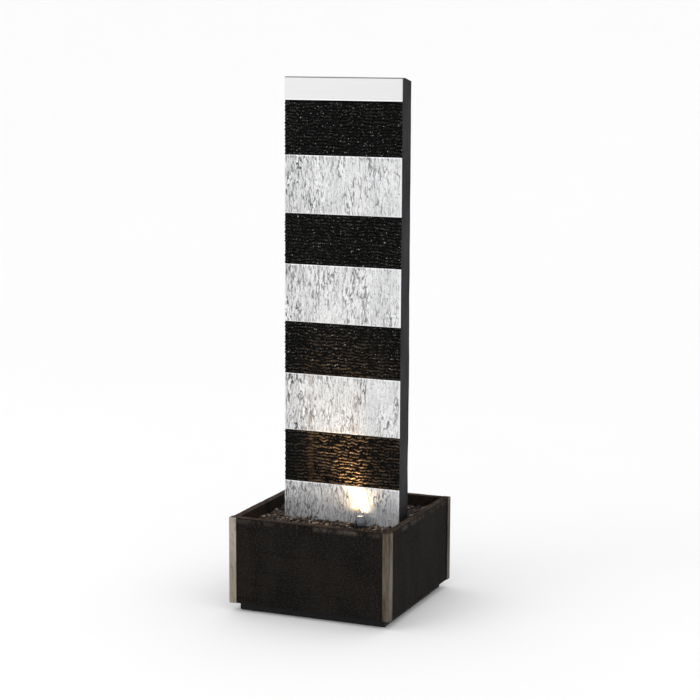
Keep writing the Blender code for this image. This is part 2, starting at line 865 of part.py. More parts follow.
def spreader():
    """A capped pipe across the outlet pocket, fed in its middle, with a row of holes below."""
    y = seat_y + OUTLET_POCKET_DEPTH / 2
    left = tower_left + OUTLET_POCKET_CHEEK + 0.004
    right = tower_right - OUTLET_POCKET_CHEEK - 0.004
    bore = SPREADER_RADIUS - PIPE_WALL
    pipe = rod("spreader_pipe", (left, y, riser_top), (right, y, riser_top), SPREADER_RADIUS, "stainless")
    stub = rod(
        "join_spreader_stub",
        (tower_middle, y, riser_top),
        (tower_middle, stub_end, riser_top),
        barb_radius,
    )
    join(pipe, stub)
    hollow = rod(
        "cut_spreader_bore", (left + 0.002, y, riser_top), (right - 0.002, y, riser_top), bore, segments=16
    )
    inlet = rod(
        "cut_spreader_inlet",
        (tower_middle, y, riser_top),
        (tower_middle, stub_end + 0.01, riser_top),
        barb_radius - PIPE_WALL,
        segments=16,
    )
    cut(pipe, hollow, inlet)
    holes = bmesh.new()
    for index in range(SPREADER_HOLES):
        x = left + (right - left) * (index + 0.5) / SPREADER_HOLES
        place = Matrix.Translation((x, y, riser_top - SPREADER_RADIUS))
        bmesh.ops.create_cone(
            holes,
            cap_ends=True,
            segments=8,
            radius1=SPREADER_HOLE_RADIUS,
            radius2=SPREADER_HOLE_RADIUS,
            depth=SPREADER_RADIUS,
            matrix=place,
        )
    cut(pipe, mesh_object("cut_spreader_holes", holes))


def riser():
    """Moulded elbow from the spreader into the channel, and the hose from it down to the pump."""
    hose_top = riser_top - elbow_radius - 0.002
    body_low = (tower_middle, channel_y, riser_top - elbow_radius)
    body_high = (tower_middle, channel_y, riser_top + elbow_radius)
    centre = (tower_middle, channel_y, riser_top)
    nose = (tower_middle, stub_end + GAP, riser_top)
    barb_end = (tower_middle, channel_y, hose_top - 0.014)
    elbow = rod("riser_elbow", body_low, body_high, elbow_radius, "black_plastic")
    barb = rod("join_elbow_barb", barb_end, centre, barb_radius)
    spout = rod("join_elbow_spout", centre, nose, barb_radius)
    join(elbow, barb, spout)
    bore = barb_radius - PIPE_WALL
    below = (tower_middle, channel_y, hose_top - 0.02)
    ahead = (tower_middle, stub_end - 0.005, riser_top)
    rise = rod("cut_elbow_rise", below, (tower_middle, channel_y, riser_top + bore), bore, segments=16)
    turn = rod("cut_elbow_turn", (tower_middle, channel_y, riser_top), ahead, bore, segments=16)
    cut(elbow, rise, turn)

    hose_bottom = pump_top + 0.004
    bend_start = pump_top + NOZZLE_HEIGHT + 0.001
    route = [(tower_middle, nozzle_y, hose_bottom)]
    bend_steps = 9
    for index in range(bend_steps + 1):
        t = index / bend_steps
        ease = t * t * (3 - 2 * t)
        y = nozzle_y + (channel_y - nozzle_y) * ease
        route.append((tower_middle, y, bend_start + HOSE_BEND_RISE * t))
    route.append((tower_middle, channel_y, hose_top))
    swept("riser_hose", route, HOSE_RADIUS, "clear_hose", wall=HOSE_WALL)

    inner = HOSE_RADIUS + GAP
    outer = inner + CLAMP_THICKNESS
    profile = [(inner, 0), (outer, 0), (outer, CLAMP_WIDTH), (inner, CLAMP_WIDTH)]
    turned(
        "hose_clamp_pump", profile, "stainless", origin=(tower_middle, nozzle_y, hose_bottom + 0.002)
    )
    turned(
        "hose_clamp_top",
        profile,
        "stainless",
        origin=(tower_middle, channel_y, hose_top - 0.003 - CLAMP_WIDTH),
    )


# ---------------------------------------------------------------- pump


def pump():
    """Submersible pump on its axis along X: strainer and volute at -X, potted coil at +X."""
    y_low, y_high = pump_y - PUMP_WIDTH / 2, pump_y + PUMP_WIDTH / 2
    z_low, z_high = pump_bottom, pump_top
    axis_y, axis_z = pump_y, pump_z
    shoulder = pump_face + STRAINER_LAP
    housing = box("pump_housing", (shoulder, y_low, z_low), (pump_back, y_high, z_high), "pump_plastic")
    soften(housing, 0.002)
    inset = STRAINER_WALL + RUNNING_GAP
    neck = box(
        "join_pump_neck",
        (pump_face, y_low + inset, z_low + inset),
        (shoulder + 0.003, y_high - inset, z_high - inset),
    )
    nozzle = rod(
        "join_pump_nozzle",
        (tower_middle, nozzle_y, z_high - PUMP_WALL),
        (tower_middle, nozzle_y, z_high + NOZZLE_HEIGHT),
        barb_radius,
    )
    join(housing, neck, nozzle)

    cover_seat = volute_face + VOLUTE_COVER_THICKNESS + GAP
    chamber = rod(
        "cut_impeller_chamber",
        (pump_face - 0.01, axis_y, axis_z),
        (cover_seat + chamber_length, axis_y, axis_z),
        chamber_radius,
        segments=32,
    )
    rotor_end = cover_seat + chamber_length + ROTOR_LENGTH + 2 * RUNNING_GAP
    rotor_bore = rod(
        "cut_rotor_bore",
        (cover_seat, axis_y, axis_z),
        (rotor_end, axis_y, axis_z),
        ROTOR_RADIUS + RUNNING_GAP,
    )
    shaft_socket = rod(
        "cut_shaft_socket",
        (rotor_end - 0.001, axis_y, axis_z),
        (rotor_end + SHAFT_SOCKET_DEPTH, axis_y, axis_z),
        SHAFT_RADIUS + GAP,
        segments=16,
    )
    outlet = rod(
        "cut_pump_outlet",
        (tower_middle, nozzle_y, axis_z),
        (tower_middle, nozzle_y, z_high + NOZZLE_HEIGHT + 0.01),
        barb_radius - PIPE_WALL,
        segments=16,
    )
    coil_room = box(
        "cut_stator_room",
        (pump_back - STATOR_LENGTH - 2 * GAP, y_low + PUMP_WALL, z_low + PUMP_WALL),
        (pump_back + 0.01, y_high - PUMP_WALL, z_high - PUMP_WALL),
    )
    cut(housing, chamber, rotor_bore, shaft_socket, outlet, coil_room)

    volute_cover(axis_y, axis_z)
    rotor(axis_y, axis_z, cover_seat, rotor_end)
    box(
        "pump_coil",
        (pump_back - STATOR_LENGTH - GAP, y_low + PUMP_WALL + GAP, z_low + PUMP_WALL + GAP),
        (pump_back - GAP, y_high - PUMP_WALL - GAP, z_high - PUMP_WALL - GAP),
        "magnet",
    )
    back = box(
        "pump_back_cover",
        (pump_back + GAP, y_low, z_low),
        (pump_back + GAP + 0.0025, y_high, z_high),
        "pump_plastic",
    )
    soften(back, 0.001)
    strainer(axis_y, axis_z)
    for name, side in (("pump_pad_front", -1), ("pump_pad_rear", 1)):
        y = pump_y + side * PUMP_WIDTH / 3
        box(
            name,
            (pump_face + STRAINER_LAP + 0.002, y - 0.005, floor_z + GAP),
            (pump_back - 0.002, y + 0.005, floor_z + GAP + PUMP_PAD_HEIGHT),
            "rubber",
        )


def volute_cover(axis_y, axis_z):
    """A disc that closes the impeller chamber, with inlet holes round the shaft's bush."""
    plate = rod(
        "volute_cover",
        (volute_face, axis_y, axis_z),
        (volute_face + VOLUTE_COVER_THICKNESS, axis_y, axis_z),
        chamber_radius - GAP,
        "pump_plastic",
        segments=32,
    )
    inlets = bmesh.new()
    for index in range(6):
        angle = math.tau * index / 6
        offset = 0.55 * chamber_radius
        centre = (
            volute_face,
            axis_y + offset * math.cos(angle),
            axis_z + offset * math.sin(angle),
        )
        bmesh.ops.create_cone(
            inlets,
            cap_ends=True,
            segments=12,
            radius1=0.0027,
            radius2=0.0027,
            depth=4 * VOLUTE_COVER_THICKNESS,
            matrix=Matrix.Translation(centre) @ turn_to((1, 0, 0)),
        )
    bush = rod(
        "cut_volute_bush",
        (volute_face + 0.001, axis_y, axis_z),
        (volute_face + VOLUTE_COVER_THICKNESS + 0.01, axis_y, axis_z),
        SHAFT_RADIUS + GAP,
        segments=16,
    )
    cut(plate, mesh_object("cut_volute_inlets", inlets), bush)


def rotor(axis_y, axis_z, cover_seat, rotor_end):
    """Ceramic shaft, and the magnet and impeller that spin on it."""
    rod(
        "rotor_shaft",
        (volute_face + 0.001 + GAP, axis_y, axis_z),
        (rotor_end + SHAFT_SOCKET_DEPTH - GAP, axis_y, axis_z),
        SHAFT_RADIUS,
        "ceramic",
        segments=16,
    )
    impeller_start = cover_seat + RUNNING_GAP
    impeller_end = impeller_start + IMPELLER_LENGTH
    bore = SHAFT_RADIUS + RUNNING_GAP
    centre = (impeller_start, axis_y, axis_z)
    magnet_start = impeller_end + GAP
    turned(
        "rotor_magnet",
        [
            (bore, 0),
            (ROTOR_RADIUS, 0),
            (ROTOR_RADIUS, rotor_end - RUNNING_GAP - magnet_start),
            (bore, rotor_end - RUNNING_GAP - magnet_start),
        ],
        "magnet",
        axis=(1, 0, 0),
        origin=(magnet_start, axis_y, axis_z),
    )
    hub = turned(
        "impeller",
        [
            (bore, 0),
            (0.0045, 0),
            (0.0045, IMPELLER_LENGTH - 0.0015),
            (IMPELLER_RADIUS - 0.002, IMPELLER_LENGTH - 0.0015),
            (IMPELLER_RADIUS - 0.002, IMPELLER_LENGTH),
            (bore, IMPELLER_LENGTH),
        ],
        "pump_plastic",
        axis=(1, 0, 0),
        origin=centre,
    )
    for index in range(IMPELLER_BLADES):
        blade = bmesh.new()
        size = Matrix.Diagonal((IMPELLER_LENGTH - 0.001, 0.0012, IMPELLER_RADIUS - 0.004, 1.0))
        reach = Matrix.Translation((IMPELLER_LENGTH / 2, 0, 0.004 + (IMPELLER_RADIUS - 0.004) / 2))
        spin = Matrix.Rotation(math.tau * index / IMPELLER_BLADES, 4, "X")
        bmesh.ops.create_cube(blade, size=1.0, matrix=spin @ reach @ size)
        vane = mesh_object(f"join_impeller_blade_{index}", blade)
        vane.location = centre
        join(hub, vane)


def strainer(axis_y, axis_z):
    """Pull-off cage over the pump's inlet, with the flow dial on its face."""
    y_low, y_high = pump_y - PUMP_WIDTH / 2, pump_y + PUMP_WIDTH / 2
    x_high = pump_face + STRAINER_LAP - RUNNING_GAP
    x_low = x_high - STRAINER_LENGTH
    place = (x_high, axis_y, axis_z)
    cage = box(
        "strainer_cover", (x_low, y_low, pump_bottom), (x_high, y_high, pump_top), "pump_plastic", origin=place
    )
    soften(cage, 0.001)
    wall = STRAINER_WALL
    hollow = box(
        "cut_strainer_hollow",
        (x_low + wall, y_low + wall, pump_bottom + wall),
        (x_high + 0.01, y_high - wall, pump_top - wall),
    )
    cut(cage, hollow)
    slits = bmesh.new()
    slit_x = x_low + wall + SLIT_LENGTH / 2
    for side in (-1, 1):
        for index in range(SLIT_COUNT):
            z = axis_z + (index - (SLIT_COUNT - 1) / 2) * SLIT_PITCH
            place = Matrix.Translation((slit_x, axis_y + side * PUMP_WIDTH / 2, z))
            size = Matrix.Diagonal((SLIT_LENGTH, 0.02, SLIT_WIDTH, 1.0))
            bmesh.ops.create_cube(slits, size=1.0, matrix=place @ size)
    cut(cage, mesh_object("cut_strainer_slits", slits))
    stem_room = rod(
        "cut_flow_dial_hole",
        (x_low - 0.01, axis_y, axis_z),
        (x_low + wall + 0.001, axis_y, axis_z),
        0.002 + RUNNING_GAP,
        segments=16,
    )
    window = rod(
        "cut_flow_window",
        (x_low - 0.01, axis_y, axis_z + FLOW_PORT_OFFSET),
        (x_low + wall + 0.001, axis_y, axis_z + FLOW_PORT_OFFSET),
        FLOW_PORT_RADIUS,
        segments=12,
    )
    cut(cage, stem_room, window)
    dial_origin = (x_low, axis_y, axis_z)
    dial = turned(
        "flow_dial",
        [
            (0, -wall - 0.0006),
            (0.002, -wall - 0.0006),
            (0.002, RUNNING_GAP),
            (FLOW_DIAL_RADIUS, RUNNING_GAP),
            (FLOW_DIAL_RADIUS, 0.0018),
            (0, 0.0018),
        ],
        "ceramic",
        axis=(-1, 0, 0),
        origin=dial_origin,
    )
    grip = box(
        "join_dial_grip",
        (x_low - FLOW_DIAL_HEIGHT, axis_y - FLOW_DIAL_RADIUS + 0.001, axis_z - 0.001),
        (x_low - 0.001, axis_y + FLOW_DIAL_RADIUS - 0.001, axis_z + 0.001),
    )
    join(dial, grip)
    cut(dial, window)


# ---------------------------------------------------------------- lamp


def lamp():
    """A bullet spot lamp that tilts in a stainless fork standing on the tray."""
    pivot = Vector((lamp_x, lamp_y, lamp_z))
    stand = bpy.data.objects.new("lamp_turn", None)
    bpy.data.collections[PARTS].objects.link(stand)
    stand.location = pivot
    stand.rotation_euler = (0, 0, LAMP_TURN)
    tilt = bpy.data.objects.new("lamp_tilt_axis", None)
    bpy.data.collections[PARTS].objects.link(tilt)
    tilt.parent = stand
    tilt.rotation_euler = (-LAMP_TILT, 0, 0)

    radius, wall, length = LAMP_RADIUS, LAMP_WALL, LAMP_LENGTH
    inner = radius - wall
    bowl = [(-90 + 15 * step) for step in range(7)]
    outside = [(radius * math.cos(math.radians(a)), radius * math.sin(math.radians(a))) for a in bowl]
    inside = [(inner * math.cos(math.radians(a)), inner * math.sin(math.radians(a))) for a in bowl]
    lens_seat = length - 0.004
    profile = outside + [(radius, length - 0.0025), (radius - 0.0008, length - 0.0025)]
    profile += [
        (radius - 0.0008, lens_seat),
        (inner - 0.0006, lens_seat),
        (inner - 0.0006, lens_seat - 0.001),
    ]
    profile += [(inner, lens_seat - 0.002)]
    profile += list(reversed(inside))
    profile[0] = (LEAD_RADIUS + GAP, -radius * 0.98)
    profile[-1] = (LEAD_RADIUS + GAP, -inner * 0.98)
    housing = turned("lamp_housing", profile, "lamp_grey")
    bezel = turned(
        "lamp_bezel",
        [
            (inner - 0.001, length - 0.0022),
            (radius, length - 0.0022),
            (radius, length),
            (inner - 0.0002, length),
        ],
        "stainless",
    )
    lens = turned(
        "lamp_lens",
        [
            (0, lens_seat + GAP),
            (radius - 0.0008 - GAP, lens_seat + GAP),
            (radius - 0.0008 - GAP, length - 0.0022 - GAP),
            (inner - 0.001, length - 0.0022 - GAP),
            (0, length - 0.0018 - GAP),
        ],
        "lens",
    )
    module = turned(
        "lamp_led_module",
        [
            (0, 0.0),
            (inner - GAP, 0.0),
            (inner - GAP, 0.003),
            (0.0035, 0.003),
            (0.003, 0.0055),
            (0, 0.0055),
        ],
        "emitter",
    )
    for item in (housing, bezel, lens, module):
        item.parent = tilt

    arm_in = radius + RUNNING_GAP + 0.0004
    arm_out = arm_in + LAMP_ARM_THICKNESS
    foot_top = tray_top + GAP + LAMP_ARM_THICKNESS - lamp_z
    foot_bottom = tray_top + GAP - lamp_z
    points = [
        (-arm_out, foot_bottom),
        (arm_out, foot_bottom),
        (arm_out, 0.005),
        (arm_in, 0.005),
        (arm_in, foot_top),
        (-arm_in, foot_top),
        (-arm_in, 0.005),
        (-arm_out, 0.005),
    ]
    upright = Matrix(((1, 0, 0, 0), (0, 0, -1, 0), (0, 1, 0, 0), (0, 0, 0, 1)))
    fork = outline("lamp_bracket", points, LAMP_ARM_WIDTH, upright, "stainless")
    fork.parent = stand
    lead_hole = rod(
        "cut_bracket_lead_hole",
        (lamp_x, lamp_y, tray_top - 0.01),
        (lamp_x, lamp_y, tray_top + 0.01),
        LEAD_RADIUS + 2 * GAP,
        segments=16,
    )
    cut(fork, lead_hole)
    for name, side in (("lamp_pivot_screw_left", -1), ("lamp_pivot_screw_right", 1)):
        shank = LAMP_SCREW_RADIUS
        start = inner + 0.0003
        screw = turned(
            name,
            [
                (0, start),
                (shank, start),
                (shank, arm_out + GAP),
                (2 * shank, arm_out + GAP),
                (2 * shank, arm_out + GAP + 0.0012),
                (0, arm_out + GAP + 0.0014),
            ],
            "stainless",
            axis=(side, 0, 0),
            segments=16,
        )
        screw.parent = stand
        hole = rod("cut_" + name, (side * 0.004, 0, 0), (side * 0.02, 0, 0), shank + RUNNING_GAP, segments=16)
        hole.parent = stand
        cut(housing, hole)
        cut(fork, hole)


# ---------------------------------------------------------------- power


def socket_and_leads():
    """Low-voltage socket through the back panel, and the two leads that end behind it."""
    outer = half_depth - panel_inset
    inner = outer - PANEL_THICKNESS
    bore = 0.0048
    depth = 0.008
    front = outer + GAP + SOCKET_FLANGE
    tail = inner - 0.008
    length = front - tail
    socket = turned(
        "power_socket",
        [
            (0, 0),
            (SOCKET_RADIUS, 0),
            (SOCKET_RADIUS, length - SOCKET_FLANGE),
            (SOCKET_FLANGE_RADIUS, length - SOCKET_FLANGE),
            (SOCKET_FLANGE_RADIUS - 0.0004, length),
            (bore, length),
            (bore, length - depth),
            (0, length - depth),
        ],
        "black_plastic",
        axis=(0, 1, 0),
        origin=(socket_x, tail, socket_z),
    )
    for side in (-1, 1):
        pin = rod(
            f"join_socket_pin_{side + 1}",
            (socket_x + side * SOCKET_PIN_OFFSET, front - depth - 0.001, socket_z),
            (socket_x + side * SOCKET_PIN_OFFSET, front - 0.002, socket_z),
            SOCKET_PIN_RADIUS,
            segments=8,
        )
        join(socket, pin)
    nut_y = inner - GAP
    nut = rod(
        "socket_nut",
        (socket_x, nut_y - 0.003, socket_z),
        (socket_x, nut_y, socket_z),
        SOCKET_FLANGE_RADIUS,
        "stainless",
        segments=6,
    )
    thread = rod(
        "cut_socket_nut",
        (socket_x, nut_y - 0.01, socket_z),
        (socket_x, nut_y + 0.01, socket_z),
        SOCKET_RADIUS + GAP,
    )
    cut(nut, thread)

    # both leads rise side by side in the rear notch and turn into the socket's tail
    tail_y = tail - GAP
    rise_y = tail_y - 0.006
    under = tray_bottom - 0.012
    side_x = inside_x - 0.006
    pump_exit = Vector((pump_back + GAP + 0.0025 + GAP, pump_y, pump_z))
    pump_knots = [
        pump_exit,
        pump_exit + Vector((0.004, 0, 0)),
        pump_exit + Vector((0.012, 0, 0)),
        (socket_x - 0.022, pump_y + 0.020, pump_z + 0.012),
        (socket_x - 0.003, rise_y - 0.014, under - 0.030),
        (socket_x - 0.003, rise_y, under),
        (socket_x - 0.003, rise_y, tray_top),
        (socket_x - 0.003, rise_y + 0.0012, socket_z - 0.002),
        (socket_x - 0.003, tail_y - 0.0025, socket_z),
        (socket_x - 0.003, tail_y, socket_z),
    ]
    swept("pump_lead", smooth_route(pump_knots, 0.006), LEAD_RADIUS, "rubber", sides=8)
    lead_top = lamp_z - LAMP_RADIUS - GAP
    below = reservoir_top - BEARER_LEG - 0.012
    lamp_knots = [
        (lamp_x, lamp_y, lead_top),
        (lamp_x, lamp_y, tray_bottom - 0.003),
        (lamp_x, lamp_y, tray_bottom - 0.010),
        (lamp_x + 0.010, lamp_y - 0.004, below),
        (side_x - 0.010, lamp_y - 0.002, below - 0.006),
        (side_x, lamp_y + 0.030, below - 0.008),
        (side_x, slab_back + 0.040, below - 0.008),
        (side_x - 0.012, rise_y - 0.018, below),
        (socket_x + 0.006, rise_y - 0.002, under - 0.004),
        (socket_x + 0.003, rise_y, tray_top),
        (socket_x + 0.003, rise_y + 0.0012, socket_z - 0.002),
        (socket_x + 0.003, tail_y - 0.0025, socket_z),
        (socket_x + 0.003, tail_y, socket_z),
    ]
    swept("lamp_lead", smooth_route(lamp_knots, 0.006), LEAD_RADIUS, "rubber", sides=8)


def build():
    clear_scene()
    slate_panels()
    corner_angles()
    reservoir()
    bearers()
    tray_and_gravel()
    tower_slab()
    riser_cover()
    steel_bands()
    top_cap()
    tower_shoe()
    spreader()
    riser()
    pump()
    lamp()
    socket_and_leads()


build()
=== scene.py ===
import json
import math
import random

import bmesh
import bpy
from mathutils import Matrix, Vector, noise

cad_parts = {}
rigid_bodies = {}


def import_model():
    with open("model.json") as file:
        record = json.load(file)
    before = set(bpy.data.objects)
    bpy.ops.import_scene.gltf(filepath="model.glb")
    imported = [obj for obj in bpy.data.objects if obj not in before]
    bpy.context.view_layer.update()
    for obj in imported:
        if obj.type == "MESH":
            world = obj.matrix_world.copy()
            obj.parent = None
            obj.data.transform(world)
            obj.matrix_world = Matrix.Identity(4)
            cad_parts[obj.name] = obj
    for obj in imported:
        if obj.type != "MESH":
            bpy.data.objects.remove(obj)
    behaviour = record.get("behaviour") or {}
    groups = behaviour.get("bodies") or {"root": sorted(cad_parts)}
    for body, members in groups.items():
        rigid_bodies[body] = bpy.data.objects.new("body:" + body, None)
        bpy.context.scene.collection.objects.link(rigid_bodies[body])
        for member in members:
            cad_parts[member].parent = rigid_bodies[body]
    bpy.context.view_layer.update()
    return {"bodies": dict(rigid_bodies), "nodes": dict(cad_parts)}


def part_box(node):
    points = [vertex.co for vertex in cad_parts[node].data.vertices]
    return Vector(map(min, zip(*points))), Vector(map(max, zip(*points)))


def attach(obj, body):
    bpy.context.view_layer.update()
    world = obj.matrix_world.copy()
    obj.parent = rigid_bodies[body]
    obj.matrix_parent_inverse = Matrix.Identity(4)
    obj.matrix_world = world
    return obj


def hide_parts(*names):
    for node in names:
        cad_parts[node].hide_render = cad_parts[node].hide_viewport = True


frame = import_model()

# ---------------------------------------------------------------- slate panels
# Four split slates, 15 mm thick, bonded round the reservoir. Their faces are cleft in shallow layers and sealed
# nearly black; the sawn tops stay dusty taupe, lightened as painted light from above, the inner faces take part
# of that colour as painted lamp light, and their outer edges are chipped.


class Wire:
    """A socket in a material's node tree. Arithmetic on wires adds Math nodes."""

    def __init__(self, tree, socket=None):
        self.tree = tree
        self.socket = socket

    def node(self, kind, settings, inputs, output=0):
        """Adds a node: its settings first, then the value or wire of each input."""
        made = self.tree.nodes.new(kind)
        for name, value in settings.items():
            setattr(made, name, value)
        for name, value in inputs.items():
            if isinstance(value, Wire):
                self.tree.links.new(value.socket, made.inputs[name])
            else:
                made.inputs[name].default_value = value
        return Wire(self.tree, made.outputs[output])

    def math(self, operation, first, second):
        return self.node("ShaderNodeMath", {"operation": operation}, {0: first, 1: second})

    def __add__(self, other):
        return self.math("ADD", self, other)

    def __radd__(self, other):
        return self.math("ADD", other, self)

    def __sub__(self, other):
        return self.math("SUBTRACT", self, other)

    def __rsub__(self, other):
        return self.math("SUBTRACT", other, self)

    def __mul__(self, other):
        return self.math("MULTIPLY", self, other)

    def __rmul__(self, other):
        return self.math("MULTIPLY", other, self)

    def between(self, low, high):
        """0 at low and 1 at high, smooth between them and flat outside."""
        span = {"Value": self, "From Min": low, "From Max": high}
        return self.node("ShaderNodeMapRange", {"interpolation_type": "SMOOTHSTEP"}, span)

    def stripe(self, start, full, fade, end):
        """0 up to start, 1 from full to fade, and 0 again past end."""
        return self.between(start, full) * (1 - self.between(fade, end))

    def along(self, axis):
        """This place's X, Y or Z."""
        return self.node("ShaderNodeSeparateXYZ", {}, {0: self}, axis)

    def mix(self, first, second):
        """The first colour where this wire is 0, the second where it is 1."""
        colours = {6 + i: c if isinstance(c, Wire) else (*c, 1.0) for i, c in enumerate((first, second))}
        return self.node("ShaderNodeMix", {"data_type": "RGBA"}, {0: self, **colours}, 2)

    def noise(self, scale, detail=3.0):
        """Noise of 0 to 1 at this place, with its cycles a metre given along X, Y and Z."""
        place = self.node("ShaderNodeVectorMath", {"operation": "MULTIPLY"}, {0: self, 1: scale})
        return self.node("ShaderNodeTexNoise", {}, {"Vector": place, "Scale": 1.0, "Detail": detail})

    def attribute(self, name):
        return self.node("ShaderNodeAttribute", {"attribute_name": name}, {}, "Fac")

    def into(self, socket):
        self.tree.links.new(self.socket, self.tree.nodes["Principled BSDF"].inputs[socket])

    def raise_surface(self, height):
        """Bump of the given height, in metres, where this wire is 1."""
        self.node("ShaderNodeBump", {}, {"Height": self, "Distance": height}).into("Normal")


def finish(name, values):
    """A material with plain values on its shader, and a wire on the piece's own place."""
    material = bpy.data.materials.new(name)
    material.use_nodes = True
    tree = material.node_tree
    for socket, value in values.items():
        tree.nodes["Principled BSDF"].inputs[socket].default_value = value
    return material, Wire(tree).node("ShaderNodeTexCoord", {}, {}, "Object")


def unit(value):
    """The value, kept within 0 and 1."""
    return min(1.0, max(0.0, value))


def gridded_box(low, high, pitch):
    """A box whose faces are cut into cells of about the pitch given along X, Y and Z."""
    bm = bmesh.new()
    size = high - low
    bmesh.ops.create_cube(bm, matrix=Matrix.Translation((low + high) / 2) @ Matrix.Diagonal((*size, 1)))
    for axis in range(3):
        along = [e for e in bm.edges if abs(e.verts[0].co[axis] - e.verts[1].co[axis]) > size[axis] / 2]
        cuts = max(1, round(size[axis] / pitch[axis])) - 1
        bmesh.ops.subdivide_edges(bm, edges=along, cuts=cuts, use_grid_fill=True)
    return bm


def slice_at(bm, axis, level):
    """Cuts every face across at one level of X, Y or Z."""
    geometry = bm.verts[:] + bm.edges[:] + bm.faces[:]
    normal = [float(index == axis) for index in range(3)]
    point = [level * part for part in normal]
    bmesh.ops.bisect_plane(bm, geom=geometry, dist=1e-7, plane_co=point, plane_no=normal)


def add_piece(name, bm, material, body, sharp=math.radians(40)):
    """Makes an object of a mesh, with smooth faces and sharp corners, that rides one body."""
    mesh = bpy.data.meshes.new(name)
    bm.to_mesh(mesh)
    bm.free()
    mesh.shade_smooth()
    mesh.set_sharp_from_angle(angle=sharp)
    mesh.materials.append(material)
    piece = bpy.data.objects.new(name, mesh)
    bpy.context.scene.collection.objects.link(piece)
    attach(piece, body)
    return piece


SLATE_CELL = 0.0026
CLEFT_DEPTH = 0.0005
CHIP_REACH = 0.007
CHIP_DEPTH = 0.0016
SKIN = 0.001
INNER_PAINTED_LIGHT = 0.45

basin_slate, place = finish("basin_slate", {"Specular IOR Level": 0.03})
clouds = place.noise((9, 9, 14))
grain = place.noise((260, 260, 420), 5.0)
wear = place.noise((20, 46, 7), 4.0)
specks = place.noise((700, 700, 700), 1.0).between(0.68, 0.76)
faces = (clouds * 0.5 + wear * 0.5).between(0.38, 0.62).mix((0.0032, 0.0029, 0.0028), (0.0095, 0.0080, 0.0070))
scores = place.noise((12, 12, 120), 4.0).between(0.56, 0.68)
faces = (grain.between(0.42, 0.66) * 0.6).mix(faces, (0.030, 0.0262, 0.0225))
faces = (scores * 0.35).mix(faces, (0.0025, 0.0022, 0.0020))
faces = (specks * 0.4).mix(faces, (0.10, 0.09, 0.08))
chipped = (place.attribute("chip") * grain.between(0.3, 0.6)).mix(faces, (0.085, 0.070, 0.058))
seam = place.noise((9, 9, 9), 2.0) * 0.5 + place.noise((160, 160, 160), 4.0) * 0.5
# The sawn tops are dusty taupe, lightened further as painted light from above; the inner faces take part of
# this colour as painted lamp light.
rims_dust_and_light = seam.between(0.36, 0.62).mix((0.017, 0.011, 0.008), (0.062, 0.044, 0.032))
place.attribute("rim_dust_and_light").mix(chipped, rims_dust_and_light).into("Base Color")
(0.66 + clouds * 0.22).into("Roughness")
(grain + wear * 0.6).raise_surface(0.0004)


def cleft(point):
    """Depth of a split face under its highest layer: broad terraces, then a fine grain."""
    climb = 4.0 * (noise.noise(point * 9) + 0.4 * noise.noise(point * 31))
    step = math.floor(climb)
    terrace = step + min(1.0, 5.0 * (climb - step))
    return CLEFT_DEPTH * unit(0.45 + 0.13 * terrace + 0.22 * noise.noise(point * 230))


def chip(point):
    """0 where the outer edge is whole, up to 1 where a flake has come off."""
    return unit(0.25 + noise.noise(point * 45) + 0.7 * noise.noise(point * 150))


for side, outward in (
    ("front", Vector((0, -1, 0))),
    ("back", Vector((0, 1, 0))),
    ("left", Vector((-1, 0, 0))),
    ("right", Vector((1, 0, 0))),
):
    low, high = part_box(f"slate_panel_{side}")
    bm = gridded_box(low, high, (SLATE_CELL, SLATE_CELL, SLATE_CELL))
    for drop in (0.0005, 0.0013):
        slice_at(bm, 2, high.z - drop)
    chips = bm.verts.layers.float.new("chip")
    rims_dust_and_light = bm.verts.layers.float.new("rim_dust_and_light")
    bm.normal_update()
    middle = (low + high) / 2
    half = (high - low) / 2
    thickness = 2 * abs(half.dot(outward))
    moves = []
    for vert in bm.verts:
        drop = high.z - vert.co.z
        inward = thickness / 2 - (vert.co - middle).dot(outward)
        flake = chip(vert.co * Vector((1, 1, 0.3))) if drop < 2 * CHIP_REACH and inward < CHIP_REACH else 0.0
        edge = max(0.0, 1 - drop / CHIP_REACH) * max(0.0, 1 - inward / CHIP_REACH)
        vert[chips] = flake * (max(0.0, 1 - abs(drop / CHIP_REACH - 0.9)) if inward < SKIN else edge)
        # Inner faces take part of the taupe top colour as painted lamp light; the top face takes all of it,
        # dust plus painted light from above.
        vert[rims_dust_and_light] = INNER_PAINTED_LIGHT if inward > thickness - SKIN else 0.0
        if drop < 0.0003 and inward > SKIN:
            vert[rims_dust_and_light] = 1.0
        moves.append(-vert.normal * cleft(vert.co) - outward * CHIP_DEPTH * flake * edge)
    for vert, move in zip(bm.verts, moves):
        vert.co += move
    panel = add_piece(f"split_slate_{side}", bm, basin_slate, "fountain")
    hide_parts(f"slate_panel_{side}")

# ---------------------------------------------------------------- corner angles
# Thin stainless angles bonded over the panels' corners. Years of splashing have left a brown tea-stained film,
# in patches and heavier towards the right.


def dress(material, *nodes):
    """Gives the named parts' own meshes one material."""
    for node in nodes:
        frame["nodes"][node].data.materials.clear()
        frame["nodes"][node].data.materials.append(material)


corner_steel, place = finish("corner_steel", {"Metallic": 0.75})
brushed = place.noise((900, 900, 14), 2.0)
stain = place.noise((60, 60, 11), 5.0).between(0.34, 0.66)
blotches = place.noise((130, 130, 60), 4.0).between(0.5, 0.75)
wettest = place.along("X").between(-0.12, 0.15)
metal = (wettest * 0.77 + stain * 0.23).mix((0.38, 0.33, 0.28), (0.048, 0.033, 0.018))
(blotches * 0.55).mix(metal, (0.05, 0.036, 0.026)).into("Base Color")
(0.34 + stain * 0.25 + brushed * 0.1).into("Roughness")
(brushed + blotches * 0.5).raise_surface(0.0002)
dress(corner_steel, *[f"corner_angle_{end}_{side}" for end in ("front", "back") for side in ("left", "right")])

# ---------------------------------------------------------------- reservoir, trays and feet
# The moulded black tub holds the water and shows only as the set-back plinth; slotted trays
# of the same plastic carry the gravel, and four rubber feet lift the tub off the floor.


